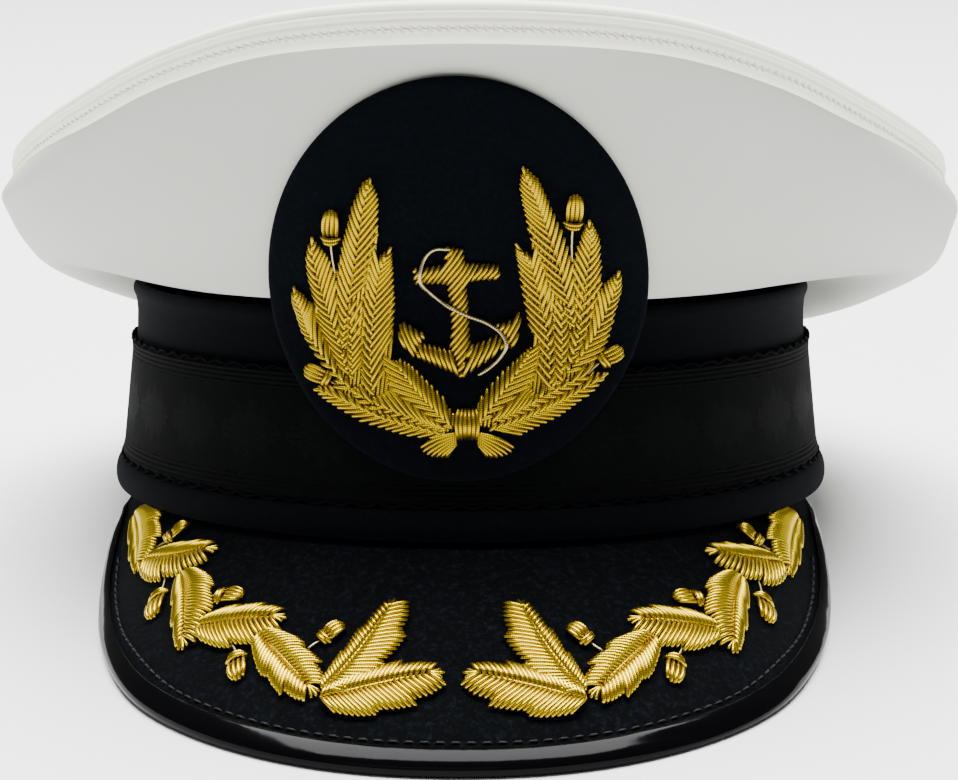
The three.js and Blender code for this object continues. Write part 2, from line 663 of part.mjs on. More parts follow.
// The knot is a short bundle of upright cords in two tiers.
const TIE = { across: 1.6, low: 22.4, high: 29.8, halfWidth: 2.7 };
const TIE_OUTLINE = [
  { at: 0, width: 0.85, high: 0.7 }, { at: 0.15, width: 1, high: 1 },
  { at: 0.4, width: 1, high: 1 }, { at: 0.52, width: 0.84, high: 0.75 },
  { at: 0.65, width: 1, high: 1 }, { at: 0.88, width: 1, high: 1 },
  { at: 1, width: 0.8, high: 0.7 },
];

function makeTie() {
  const stations = TIE_OUTLINE.map(({ at, width, high }) => ({
    at, left: TIE.halfWidth * width, right: TIE.halfWidth * width, high: THREAD.tie * high,
  }));
  return raised(badgeSpot, [[TIE.across, TIE.low], [TIE.across, TIE.high]], stations, CUSHION);
}

const RIBBON_OUTLINE = [
  { at: 0, width: 0.8, high: 0.7 }, { at: 0.3, width: 1, high: 1 },
  { at: 0.8, width: 1, high: 1 }, { at: 1, width: 0.6, high: 0.7 },
];

function makeRibbon(line, half) {
  return raised(badgeSpot, line, leafStations(RIBBON_OUTLINE, half, half), PAD);
}

// Flat shape on a surface, made of cells whose corners are named places.
function slab(spot, places, cells, high) {
  const names = Object.keys(places);
  const lift = [high, THREAD.clear];
  const points = lift.flatMap((up) => names.map((name) => spot(...places[name], up)));
  const faces = [];
  const edges = new Map();
  for (const cell of cells) {
    const corners = cell.split(" ");
    const flat = corners.map((name) => new THREE.Vector2(...places[name]));
    if (THREE.ShapeUtils.area(flat) < 0) corners.reverse();
    const face = corners.map((name) => names.indexOf(name));
    faces.push(face, face.map((k) => k + names.length).reverse());
    face.forEach((a, i) => edges.set(`${a} ${face[(i + 1) % face.length]}`, true));
  }
  for (const edge of edges.keys()) {
    const [a, b] = edge.split(" ").map(Number);
    if (!edges.has(`${b} ${a}`)) faces.push([b, a, a + names.length, b + names.length]);
  }
  return solid(points, faces);
}

const ANCHOR_PLACES = {
  stockA: [-9.2, 62.1], stockB: [-2.5, 62.6], stockC: [1.6, 62.9], stockD: [8.6, 63.1],
  underA: [-9.2, 58.2], underB: [-2.3, 58.6], underC: [1.8, 58.8], underD: [8.7, 59.4],
  topL: [-2.5, 66.5], topR: [1.4, 66.5], shankL: [-2, 50.6], shankR: [2.2, 50.6],
  crownL: [-1.6, 42.8], crownR: [2.4, 43.4], tip: [0.5, 35.9],
  armL: [-4.7, 43.5], palmL: [-7.8, 44.4], heelL: [-8, 41.4], bendL: [-3.2, 38.3],
  flukeL: [-11.3, 49.3], barbL: [-6.8, 46.3], backL: [-11.8, 45], footL: [-9.7, 40.7],
  armR: [5.3, 44.5], palmR: [8.2, 46.3], heelR: [9.8, 43.3], bendR: [5.1, 38.8],
  flukeR: [12.3, 51.3], barbR: [7.3, 48.9], backR: [12.3, 47], footR: [10.8, 42.8],
};
const ANCHOR_CELLS = [
  "stockA underA underB stockB", "stockB underB underC stockC", "stockC underC underD stockD",
  "topL stockB stockC topR", "underB shankL shankR underC", "shankL crownL crownR shankR",
  "crownL tip crownR", "crownL armL bendL tip", "armL palmL heelL bendL",
  "flukeL backL palmL barbL", "backL footL heelL palmL", "crownR tip bendR armR",
  "armR bendR heelR palmR", "palmR heelR footR backR", "palmR backR flukeR barbR",
];

// Rope from the anchor's ring round its stock, across its shank and round its fluke.
const ROPE_ROWS = [
  { x: -3.6, z: 65.9, over: 0 }, { x: -5.4, z: 65.1, over: 0 }, { x: -7.2, z: 63.6, over: 0.6 },
  { x: -7.9, z: 61.6, over: 1 }, { x: -7.9, z: 58.9, over: 1 }, { x: -7, z: 56.6, over: 0.5 },
  { x: -4.8, z: 54.6, over: 0.3 }, { x: -2.4, z: 53.6, over: 1 }, { x: 2.4, z: 51, over: 1 },
  { x: 4.4, z: 49.7, over: 0.6 }, { x: 6.8, z: 47.8, over: 0.9 }, { x: 8.8, z: 45.3, over: 1 },
  { x: 9.2, z: 43.2, over: 1 }, { x: 8.5, z: 40.8, over: 0.4 }, { x: 6.4, z: 38.4, over: 0 },
  { x: 3.9, z: 36.5, over: 0 },
];

function makeRope() {
  const last = ROPE_ROWS.length - 1;
  const half = THREAD.rope / 2;
  const stations = ROPE_ROWS.map(({ over }, i) => ({
    at: i / last, left: half, right: half, high: THREAD.clear + THREAD.rope,
    lift: over * THREAD.over,
  }));
  return raised(badgeSpot, ROPE_ROWS.map(({ x, z }) => [x, z]), stations, CORD);
}

// ---------------------------------------------------------------- the cap

const LOOKS = {
  darkCloth: { color: "#0d1016", roughness: 0.95, metalness: 0 },
  laceCloth: { color: "#1a1c1b", roughness: 0.8, metalness: 0 },
  whiteCloth: { color: "#e8e8e4", roughness: 0.9, metalness: 0 },
  weltCloth: { color: "#f0f0e4", roughness: 0.8, metalness: 0 },
  patentLeather: { color: "#050505", roughness: 0.15, metalness: 0 },
  goldThread: { color: "#c8a92a", roughness: 0.35, metalness: 0.8 },
  paleThread: { color: "#c8be96", roughness: 0.45, metalness: 0.6 },
};

const SEAM_GAP = 0.1;                  // degrees, either side of a side seam
const seamFrom = SEAM_ANGLE - SEAM_GAP;
const seamTo = SEAM_ANGLE + SEAM_GAP;

const parts = {
  band: [makeBand(), "darkCloth"],
  lace: [makeLace(), "laceCloth"],
  band_roll: [makeRoll(), "darkCloth"],
  crown_front_quarter: [makeQuarter(-seamFrom, seamFrom, 26), "whiteCloth"],
  crown_back_quarter: [makeQuarter(seamTo, 360 - seamTo, 30), "whiteCloth"],
  crown_welt: [makeWelt(), "weltCloth"],
  crown_top: [makeTop(), "whiteCloth"],
  peak: [makePeak(), "darkCloth"],
  peak_edging: [makeEdging(), "patentLeather"],
  badge_patch: [makePatch(), "darkCloth"],
  wreath_tie: [makeTie(), "goldThread"],
  ribbon_left: [makeRibbon([[-1.1, 21], [-7.4, 18.9]], 1.4), "goldThread"],
  ribbon_right: [makeRibbon([[5.2, 23.6], [10.7, 20.2]], 1.5), "goldThread"],
  anchor: [slab(badgeSpot, ANCHOR_PLACES, ANCHOR_CELLS, THREAD.anchor), "goldThread"],
  anchor_rope: [makeRope(), "paleThread"],
};
for (const row of WREATH_ROWS) parts[`wreath_leaf_${row.name}`] = [makeLaurel(row), "goldThread"];
for (const { name, x0, z0, x1, z1, x2, z2 } of BADGE_ACORNS) {
  const line = [[x0, z0], [x1, z1], [x2, z2]];
  parts[`wreath_acorn_${name}`] = [makeAcorn(badgeSpot, line), "goldThread"];
}
for (const [word, side] of [["left", -1], ["right", 1]]) {
  OAK_ROWS.forEach((row, i) => {
    parts[`peak_leaf_${word}_${i + 1}`] = [makeOak(row, side), "goldThread"];
  });
  PEAK_ACORNS.forEach(({ a0, out0, a1, out1, a2, out2 }, i) => {
    const line = [[side * a0, out0], [side * a1, out1], [side * a2, out2]];
    parts[`peak_acorn_${word}_${i + 1}`] = [makeAcorn(peakSpot, line), "goldThread"];
  });
}

const worn = new THREE.Group();
for (const [name, [geometry, look]] of Object.entries(parts)) {
  const mesh = new THREE.Mesh(geometry, new THREE.MeshStandardMaterial(LOOKS[look]));
  mesh.name = name;
  worn.add(mesh);
}
worn.rotation.x = -pitch;
worn.updateMatrixWorld(true);

// Its origin is the middle of what it stands on, and its lowest facets are at zero.
const box = new THREE.Box3().setFromObject(worn, true);
const middle = box.getCenter(vec(0, 0, 0));
worn.position.set(-middle.x, -middle.y, -box.min.z);

const cap = new THREE.Group();
cap.name = "peaked_cap";
cap.add(worn);

export default cap;
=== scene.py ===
"""Peaked cap: white crown, dark laced band, badge patch and an edged peak with gilt sprays.

Sizes in the tables are millimetres. The worn frame has its origin in the middle of the
band's lower edge; the cap is pitched back from it so that it rests on its peak.
"""
import math

import bmesh
import bpy
import numpy as np
from mathutils import Matrix, Vector
from mathutils.bvhtree import BVHTree


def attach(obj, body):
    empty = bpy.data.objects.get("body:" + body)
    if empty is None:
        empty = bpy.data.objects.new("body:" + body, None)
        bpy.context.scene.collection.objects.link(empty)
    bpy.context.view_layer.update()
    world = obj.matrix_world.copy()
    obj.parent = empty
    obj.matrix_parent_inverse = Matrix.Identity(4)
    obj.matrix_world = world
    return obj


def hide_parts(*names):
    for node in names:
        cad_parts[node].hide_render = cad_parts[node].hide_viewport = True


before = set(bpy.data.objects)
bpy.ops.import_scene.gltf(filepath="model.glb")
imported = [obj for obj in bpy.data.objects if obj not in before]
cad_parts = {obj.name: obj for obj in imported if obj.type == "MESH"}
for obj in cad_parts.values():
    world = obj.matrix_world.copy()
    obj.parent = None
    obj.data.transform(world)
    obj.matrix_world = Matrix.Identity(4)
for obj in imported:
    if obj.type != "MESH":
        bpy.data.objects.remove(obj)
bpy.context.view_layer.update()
MM = 0.001

# ---------------------------------------------------------------- sizes

PITCH = math.radians(8.86)                     # how far back the cap leans at rest
STAND = Vector((-2.19, 14.32, 14.98))          # the worn frame's origin at rest
WORN = Matrix.Translation(STAND * MM) @ Matrix.Rotation(-PITCH, 4, "X")
TURNED = WORN.to_3x3()
FROM_WORN = WORN.inverted()

# The band's half width and half length at its lower edge and its top, and its height.
BAND = {"low": (87.4, 101.0), "top": (82.4, 96.7), "height": 50.5}
LACE = {"low": 7.9, "high": 36.4}              # the lace's edges above the band's lower edge
ROUND_BAND = 94.0                              # radius by which patterns are laid round it
# The crown's hoop: its half width, its reach to the front and the back, and how far it sits
# to the right of the middle.
HOOP = {"wide": 115.6, "front": 122.0, "back": 124.0, "shift": 2.0}

# Height of the crown's hoop by the angle from the front.
HOOP_HEIGHTS = {0: 116.6, 20: 114.2, 35: 107.0, 50: 96.5, 65: 87.5, 80: 80.5, 95: 74.0,
                112: 66.5, 132: 59.0, 155: 54.0, 180: 52.5}

# Edge of the peak by the angle from the front: how far across and how far forward.
PEAK_EDGE = {0: (0.0, 155.6), 9: (22.0, 153.2), 18: (42.6, 145.0), 27: (60.5, 131.0),
             36: (72.6, 114.0), 46: (81.0, 90.0), 56: (85.2, 66.0), 65: (85.6, 47.5),
             72: (83.8, 34.5)}
PEAK_MIDDLE = (STAND.x, 2.0)                   # where its middle rests, seen from above


def worn(x, y, z):
    """Place at rest, in metres, of one given in the worn frame, in millimetres."""
    return WORN @ (Vector((x, y, z)) * MM)


def between(rows, at, level=True):
    """Smooth value at a place between the rows of a table. level keeps the curve flat at
    the first row, as where a shape crosses the cap's middle."""
    keys = list(rows)
    values = [rows[key] for key in keys]
    keys = [2 * keys[0] - keys[1]] + keys + [2 * keys[-1] - keys[-2]]
    first = values[1] if level else 2 * values[0] - values[1]
    values = [first] + values + [2 * values[-1] - values[-2]]
    k = 1
    while k < len(keys) - 3 and at > keys[k + 1]:
        k += 1
    span = keys[k + 1] - keys[k]
    t = (at - keys[k]) / span
    near = (values[k + 1] - values[k - 1]) / (keys[k + 1] - keys[k - 1]) * span
    far = (values[k + 2] - values[k]) / (keys[k + 2] - keys[k]) * span
    return ((2 * t ** 3 - 3 * t ** 2 + 1) * values[k] + (t ** 3 - 2 * t ** 2 + t) * near
            + (3 * t ** 2 - 2 * t ** 3) * values[k + 1] + (t ** 3 - t ** 2) * far)


def table(rows):
    """Straight lines between the rows of a table."""
    keys, values = list(rows), list(rows.values())
    return lambda at: float(np.interp(at, keys, values))


def from_front(angle):
    """Angle from the front, the same on the left as on the right."""
    turn = angle % 360
    return min(turn, 360 - turn)


def on_band(angle, height, proud):
    """Place on the band by the angle from the front, the height and how far proud."""
    share = height / BAND["height"]
    wide, long = (low + (top - low) * share + proud
                  for low, top in zip(BAND["low"], BAND["top"]))
    turn = math.radians(angle)
    return worn(wide * math.sin(turn), -long * math.cos(turn), height)


def on_hoop(angle, out, up):
    """Place by the crown's hoop: the angle from the front, how far outside it and above it."""
    long = HOOP["front"] if from_front(angle) < 90 else HOOP["back"]
    turn = math.radians(angle)
    return worn((HOOP["wide"] + out) * math.sin(turn) + HOOP["shift"],
                -(long + out) * math.cos(turn),
                between(HOOP_HEIGHTS, from_front(angle)) + up)


# ---------------------------------------------------------------- materials

# A colour mix shares its sockets' names with its other kinds, so they go by their places.
SHARE, FIRST, SECOND, MIXED = 0, 6, 7, 2
# A wave texture repeats every 0.314 / scale.
WAVE = 0.314


def rgb(code):
    """Linear colour of an sRGB hex code."""
    parts = [int(code[i:i + 2], 16) / 255 for i in (1, 3, 5)]
    return [c / 12.92 if c <= 0.04045 else ((c + 0.055) / 1.055) ** 2.4 for c in parts] + [1.0]


def feed(material, node, inputs):
    """Gives a node's inputs, by name or place, a value, another node's first output or a
    (node, output) pair."""
    for name, value in inputs.items():
        source, output = value if isinstance(value, tuple) else (value, 0)
        if isinstance(source, bpy.types.Node):
            material.node_tree.links.new(source.outputs[output], node.inputs[name])
        else:
            node.inputs[name].default_value = source


def add(material, kind, inputs=None, **fields):
    """Adds a node with its own fields and what goes into it."""
    node = material.node_tree.nodes.new(kind)
    for name, value in fields.items():
        setattr(node, name, value)
    feed(material, node, inputs or {})
    return node


def finish_of(name, inputs):
    """New material and its shader."""
    material = bpy.data.materials.new(name)
    material.use_nodes = True
    shader = material.node_tree.nodes["Principled BSDF"]
    feed(material, shader, inputs)
    return material, shader


# Melton: heavy wool cloth, felted and cropped, so a matt blue-black with a short fuzzy nap
# that stands up in tufts and catches a little light at their tips.
def melton(name, deep, tips, tuft_mm, lift_mm):
    material, shader = finish_of(name, {
        "Roughness": 0.95, "Specular IOR Level": 0.04,
        "Sheen Weight": 0.01, "Sheen Roughness": 0.5, "Sheen Tint": rgb("#9aa6b8")})
    place = add(material, "ShaderNodeTexCoord")
    nap = add(material, "ShaderNodeTexNoise", {
        "Vector": (place, "Object"), "Scale": 1 / (tuft_mm * MM), "Detail": 5.0,
        "Roughness": 0.75})
    tuft = add(material, "ShaderNodeMapRange", {
        "Value": (nap, "Fac"), "From Min": 0.5, "From Max": 0.75})
    tone = add(material, "ShaderNodeMix", {
        SHARE: tuft, FIRST: rgb(deep), SECOND: rgb(tips)}, data_type="RGBA")
    bump = add(material, "ShaderNodeBump", {
        "Height": (nap, "Fac"), "Strength": 0.6, "Distance": lift_mm * MM})
    feed(material, shader, {"Base Color": (tone, MIXED), "Normal": bump})
    return material


# White cap cloth: fine plain weave of cotton and polyester, matt, 1.4 threads to the
# millimetre and so barely seen, its tone a little uneven over 5 cm or so. Its colour is
# painted a light grey, not white: painted shade of the crown's sides, which face away
# from the light overhead.
def cap_cloth():
    material, shader = finish_of("white_cap_cloth_painted_shade", {
        "Roughness": 0.85, "Specular IOR Level": 0.3,
        "Sheen Weight": 0.08, "Sheen Roughness": 0.4})
    place = add(material, "ShaderNodeTexCoord")
    weave = add(material, "ShaderNodeTexNoise", {
        "Vector": (place, "Object"), "Scale": 1.4 / MM, "Detail": 3.0, "Roughness": 0.8})
    cloud = add(material, "ShaderNodeTexNoise", {
        "Vector": (place, "Object"), "Scale": 0.018 / MM, "Detail": 3.0})
    # both tones are a light grey: painted shade, not the cloth's own white
    tone = add(material, "ShaderNodeMix", {
        SHARE: (cloud, "Fac"), FIRST: rgb("#b6b7af"), SECOND: rgb("#c1c2bb")},
        data_type="RGBA")
    bump = add(material, "ShaderNodeBump", {
        "Height": (weave, "Fac"), "Strength": 0.2, "Distance": 0.15 * MM})
    feed(material, shader, {"Base Color": (tone, MIXED), "Normal": bump})
    return material


# Welt cloth: the same cloth cut as a binding, creamier, drawn tight over its piping so that
# its threads stand wider, 0.9 to the millimetre. It is painted near white, much lighter
# than the crown's grey: painted light, where the welt faces up to the light overhead.
def welt_cloth():
    material, shader = finish_of("cream_welt_binding_painted_light", {
        "Roughness": 0.8, "Specular IOR Level": 0.3})
    place = add(material, "ShaderNodeTexCoord")
    weave = add(material, "ShaderNodeTexNoise", {
        "Vector": (place, "Object"), "Scale": 0.9 / MM, "Detail": 4.0, "Roughness": 0.8})
    # near white tones: painted light on the upturned welt, lighter than the same cloth on the
    # crown
    tone = add(material, "ShaderNodeMix", {
        SHARE: (weave, "Fac"), FIRST: rgb("#f8f8e6"), SECOND: rgb("#fffff4")},
        data_type="RGBA")
    bump = add(material, "ShaderNodeBump", {
        "Height": (weave, "Fac"), "Strength": 0.5, "Distance": 0.25 * MM})
    feed(material, shader, {"Base Color": (tone, MIXED), "Normal": bump})
    return material


# The lace's relief, step by step, from how far along the lace and how far up the band a
# place is, in millimetres. Each row names a value, its operation and what it works on.
LACE_RELIEF = [
    # a leaf every 21 mm, 20 mm long, with a wavy edge that tapers to both ends
    ("beat", "PINGPONG", "along", 21.0),
    ("from_leaf", "SUBTRACT", "beat", 10.5),
    ("lobe_turn", "MULTIPLY", "from_leaf", 1.45),
    ("lobe", "COSINE", "lobe_turn"),
    ("half_height", "MULTIPLY_ADD", "lobe", 1.6, 5.2),
    ("off_leaf", "ABSOLUTE", "from_leaf"),
    ("to_tip", "DIVIDE", "off_leaf", 10.0),
    ("narrowing", "POWER", "to_tip", 2.0),
    ("taper", "SUBTRACT", 1.0, "narrowing"),
    ("from_midrib", "SUBTRACT", "up", 22.0),
    ("off_midrib", "ABSOLUTE", "from_midrib"),
    ("edge_height", "MULTIPLY", "half_height", "taper"),
    ("inside_edge", "SUBTRACT", "edge_height", "off_midrib"),
    ("body", "MULTIPLY_ADD", "inside_edge", 2.0, 0.5),
    # a groove on each side of its midrib
    ("from_groove", "SUBTRACT", "off_midrib", 0.9),
    ("off_groove", "ABSOLUTE", "from_groove"),
    ("groove", "MULTIPLY", "off_groove", 2.5),
    ("leaf", "MULTIPLY", "body", "groove"),
    ("leaf_above", "MAXIMUM", "leaf", 0.0),
    ("figure", "MINIMUM", "leaf_above", 1.0),
    # cords 1.1 mm apart along both edges, scalloped on their inside
    ("from_middle", "SUBTRACT", "up", (LACE["low"] + LACE["high"]) / 2),
    ("off_middle", "ABSOLUTE", "from_middle"),
    ("scallop_turn", "MULTIPLY", "along", 0.483),
    ("scallop_wave", "SINE", "scallop_turn"),
    ("scallop", "ABSOLUTE", "scallop_wave"),
    ("to_border", "MULTIPLY_ADD", "scallop", 1.2, "off_middle"),
    ("past_border", "SUBTRACT", "to_border", 10.6),
    ("border_rise", "DIVIDE", "past_border", 0.3),
    ("border_above", "MAXIMUM", "border_rise", 0.0),
    ("border", "MINIMUM", "border_above", 1.0),
    ("cord_turn", "MULTIPLY", "off_middle", 5.7),
    ("cord", "SINE", "cord_turn"),
    ("cords", "MULTIPLY", "border", "cord"),
    # a twill 1.2 mm apart under them, roughened by the nap
    ("slant", "ADD", "along", "up"),
    ("twill_turn", "MULTIPLY", "slant", 5.2),
    ("twill", "SINE", "twill_turn"),
    ("ground", "MULTIPLY_ADD", "twill", 0.12, "nap"),
    ("raised", "MULTIPLY_ADD", "figure", 0.9, "ground"),
    ("height", "ADD", "raised", "cords"),
]


# Mohair lace: a woven black braid with a raised oak leaf figure between corded edges. The
# figure's smooth threads show only by their lustre.
def mohair_lace():
    material, shader = finish_of("black_mohair_lace", {
        "Base Color": rgb("#030404"), "Specular IOR Level": 0.035})
    wound = add(material, "ShaderNodeUVMap", uv_map="round")
    apart = add(material, "ShaderNodeSeparateXYZ", {"Vector": (wound, "UV")})
    place = add(material, "ShaderNodeTexCoord")
    nap = add(material, "ShaderNodeTexNoise", {
        "Vector": (place, "Object"), "Scale": 1.1 / MM, "Detail": 4.0, "Roughness": 0.7})
    values = {"along": (apart, "X"), "up": (apart, "Y"), "nap": (nap, "Fac")}
    for name, operation, *terms in LACE_RELIEF:
        inputs = {k: values.get(term, term) for k, term in enumerate(terms)}
        values[name] = add(material, "ShaderNodeMath", inputs, operation=operation)
    gloss = add(material, "ShaderNodeMapRange", {
        "Value": values["figure"], "To Min": 0.9, "To Max": 0.8})
    bump = add(material, "ShaderNodeBump", {
        "Height": values["height"], "Strength": 0.7, "Distance": 0.35 * MM})
    feed(material, shader, {"Roughness": gloss, "Normal": bump})
    return material


# Patent leather: lacquered smooth over the hide, so black with sharp highlights and a
# slow ripple, 6 mm long, where it is drawn round the edge.
def patent_leather():
    material, shader = finish_of("black_patent_leather", {
        "Base Color": rgb("#040405"), "Roughness": 0.12, "Specular IOR Level": 0.055})
    place = add(material, "ShaderNodeTexCoord")
    ripple = add(material, "ShaderNodeTexNoise", {
        "Vector": (place, "Object"), "Scale": 0.16 / MM, "Detail": 2.0})
    bump = add(material, "ShaderNodeBump", {
        "Height": (ripple, "Fac"), "Strength": 0.2, "Distance": 0.4 * MM})
    feed(material, shader, {"Normal": bump})
    return material


# Gilt bullion: fine gilt copper wire wound to a springy hollow cord, bright where a turn
# faces the light and deep between turns. The turns are drawn 0.45 mm apart to show.
def bullion(name, bright, deep, rough):
    material, shader = finish_of(name, {"Metallic": 1.0, "Roughness": rough})
    wound = add(material, "ShaderNodeUVMap", uv_map="cord")
    turns = add(material, "ShaderNodeTexWave", {
        "Vector": (wound, "UV"), "Scale": WAVE / 0.45}, bands_direction="X")
    tone = add(material, "ShaderNodeMix", {
        SHARE: (turns, "Fac"), FIRST: rgb(deep), SECOND: rgb(bright)}, data_type="RGBA")
    bump = add(material, "ShaderNodeBump", {
        "Height": (turns, "Fac"), "Strength": 0.15, "Distance": 0.05 * MM})
    feed(material, shader, {"Base Color": (tone, MIXED), "Normal": bump})
    return material


# Waxed sewing thread: two plies twisted, 0.6 mm a turn, slightly shiny.
def sewing_thread(name, code):
    material, shader = finish_of(name, {
        "Base Color": rgb(code), "Roughness": 0.6, "Specular IOR Level": 0.3})
    wound = add(material, "ShaderNodeUVMap", uv_map="cord")
    plies = add(material, "ShaderNodeTexWave", {
        "Vector": (wound, "UV"), "Scale": WAVE / 0.6}, bands_direction="X")
    bump = add(material, "ShaderNodeBump", {
        "Height": (plies, "Fac"), "Strength": 0.5, "Distance": 0.1 * MM})
    feed(material, shader, {"Normal": bump})
    return material


DARK_CLOTH = melton("blue_black_melton", "#020305", "#07090c", 0.9, 0.4)
PEAK_CLOTH = melton("peak_melton", "#020304", "#10141b", 1.4, 0.6)
FELT = melton("black_badge_felt", "#020407", "#080c12", 1.1, 0.4)
LACE_CLOTH = mohair_lace()
WHITE = cap_cloth()
WELT_CLOTH = welt_cloth()
PATENT = patent_leather()
GOLD = bullion("gilt_bullion", "#c8aa00", "#7c6600", 0.36)
BRIGHT_GOLD = bullion("bright_gilt_bullion", "#dec000", "#9c8200", 0.28)
PALE = bullion("pale_gilt_purl", "#cdbf8a", "#6e6440", 0.4)
BLACK_THREAD = sewing_thread("black_sewing_thread", "#020203")
CREAM_THREAD = sewing_thread("cream_sewing_thread", "#e4e4d2")

# ---------------------------------------------------------------- making of pieces


def finish_piece(mesh, name, material, slot, *nodes):
    """Makes a finished bmesh a piece that stands for CAD nodes."""
    data = bpy.data.meshes.new(name)
    mesh.to_mesh(data)
    mesh.free()
    piece = bpy.data.objects.new(name, data)
    bpy.context.collection.objects.link(piece)
    data.materials.append(material)
    for face in data.polygons:
        face.use_smooth = True
    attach(piece, "root")
    if nodes:
        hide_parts(*nodes)
    return piece


def merged_copy(node):
    """Copy of a CAD node's mesh, its loose triangles merged and paired to quads."""
    mesh = bmesh.new()
    mesh.from_mesh(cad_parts[node].data)
    bmesh.ops.remove_doubles(mesh, verts=mesh.verts, dist=0.01 * MM)
    bmesh.ops.join_triangles(mesh, faces=mesh.faces, angle_face_threshold=0.6,
                             angle_shape_threshold=3.1)
    return mesh


def soft_form(node, material, slot, most=2.5, shape=None):
    """A CAD form carried over as smooth cloth: its facets and its cut edges are rounded, and
    its corners are moved out, by so many millimetres a round at most, so that the rounded
    form passes close to where they were. shape moves each corner first."""
    piece = finish_piece(merged_copy(node), f"{node}_cloth", material, slot, node)
    smooth = piece.modifiers.new("rounded", "SUBSURF")
    smooth.levels = smooth.render_levels = 2
    corners = np.array([shape(vert.co) if shape else vert.co for vert in piece.data.vertices])
    moved = corners.copy()
    piece.data.vertices.foreach_set("co", moved.ravel())
    for _ in range(2):
        graph = bpy.context.evaluated_depsgraph_get()
        shown = piece.evaluated_get(graph)
        reached = np.zeros(3 * len(shown.data.vertices))
        shown.data.vertices.foreach_get("co", reached)
        short = corners - reached.reshape(-1, 3)[:len(corners)]
        moved += np.clip(short, -most * MM, most * MM)
        piece.data.vertices.foreach_set("co", moved.ravel())
        piece.data.update()
    return piece


def round_the_cap(name, section, steps, place, material, slot, *nodes):
    """Ring round the cap: a section of outs and ups is spun full circle and then each point
    goes to its place by angle, out and up. Its UV map is millimetres round and up."""
    hub = 110.0                                # keeps the section clear of the spin's axis
    mesh = bmesh.new()
    ring = bmesh.ops.create_circle(mesh, segments=len(section), radius=1.0)["verts"]
    for vert, (out, up) in zip(ring, section):
        vert.co = (hub + out, 0, up)
    bmesh.ops.spin(mesh, geom=mesh.verts[:] + mesh.edges[:], axis=(0, 0, 1), cent=(0, 0, 0),
                   dvec=(0, 0, 0), angle=math.tau, steps=steps, use_merge=True,
                   use_duplicate=False)
    bmesh.ops.recalc_face_normals(mesh, faces=mesh.faces)
    flat = mesh.loops.layers.uv.new("round")
    around = {vert: (math.degrees(math.atan2(vert.co.y, vert.co.x)) % 360,
                     vert.co.xy.length - hub, vert.co.z) for vert in mesh.verts}
    for face in mesh.faces:
        closing = max(around[loop.vert][0] for loop in face.loops) > 300
        for loop in face.loops:
            angle, _, up = around[loop.vert]
            angle += 360 if closing and angle < 60 else 0
            loop[flat].uv = (math.radians(angle) * ROUND_BAND, up)
    for vert in mesh.verts:
        vert.co = place(*around[vert])
    bmesh.ops.recalc_face_normals(mesh, faces=mesh.faces)
    finish_piece(mesh, name, material, slot, *nodes)


def cord_form(cuts, sides=8):
    """Straight cord a unit long and a unit across, cut into rings at the given places."""
    mesh = bmesh.new()
    bmesh.ops.create_cone(mesh, cap_ends=True, segments=sides, radius1=0.5, radius2=0.5,
                          depth=1.0)
    bmesh.ops.translate(mesh, verts=mesh.verts, vec=(0, 0, 0.5))
    for cut in cuts[1:-1]:
        bmesh.ops.bisect_plane(mesh, geom=mesh.verts[:] + mesh.edges[:] + mesh.faces[:],
                               plane_co=(0, 0, cut), plane_no=(0, 0, 1))
    wound = mesh.loops.layers.uv.new("cord")
    for face in mesh.faces:
        for loop in face.loops:
            loop[wound].uv = (loop.vert.co.z, 0.5)
    data = bpy.data.meshes.new("cord_form")
    mesh.to_mesh(data)
    mesh.free()
    return data


SHORT = (0.0, 0.05, 0.25, 0.5, 0.75, 0.95, 1.0)        # rings of a short strand
LONG = tuple(i / 120 for i in range(121))               # and of a long cord
FORMS = {SHORT: cord_form(SHORT), LONG: cord_form(LONG, 10)}
END_THICK, NEXT_THICK = 0.5, 0.9                        # how full a cord is at its end rings


def lay_cords(name, strokes, material, slot, *nodes, cuts=SHORT):
    """Piece of cords laid side by side. A stroke is the cord's middle at each ring, the way
    up there and how thick it is, in metres."""
    form = FORMS[cuts]
    mesh = bmesh.new()
    for _ in strokes:
        mesh.from_mesh(form)
    piece = finish_piece(mesh, name, material, slot, *nodes)
    straight = np.array([vert.co for vert in form.vertices])
    ring = np.abs(straight[:, 2:] - np.array(cuts)).argmin(axis=1)      # each corner's ring
    ends = np.ones(len(cuts))
    ends[[0, -1]] = END_THICK
    ends[[1, -2]] = NEXT_THICK
    # By stroke, ring and coordinate: the middle of the cord and the ways up and aside there.
    middles = np.array([[tuple(place) for place in stroke[0]] for stroke in strokes])
    ups = np.array([[tuple(up) for up in stroke[1]] for stroke in strokes])
    thick = np.array([stroke[2] for stroke in strokes])[:, None, None] * ends[None, :, None]
    ways = np.gradient(middles, axis=1)
    asides = np.cross(ways, ups)
    asides /= np.linalg.norm(asides, axis=2, keepdims=True)
    ups = np.cross(asides, ways)
    ups /= np.linalg.norm(ups, axis=2, keepdims=True)
    at = (middles[:, ring] + straight[:, 0, None] * (thick * asides)[:, ring]
          + straight[:, 1, None] * (thick * ups)[:, ring])
    piece.data.vertices.foreach_set("co", at.ravel())
    piece.data.update()
    # The UV map of each cord runs in millimetres along it.
    wound = piece.data.uv_layers["cord"].uv
    flat = np.zeros(2 * len(wound))
    wound.foreach_get("vector", flat)
    longs = np.linalg.norm(np.diff(middles, axis=1), axis=2).sum(axis=1) / MM
    flat = flat.reshape(len(strokes), -1, 2)
    flat[:, :, 0] *= longs[:, None]
    wound.foreach_set("vector", flat.ravel())


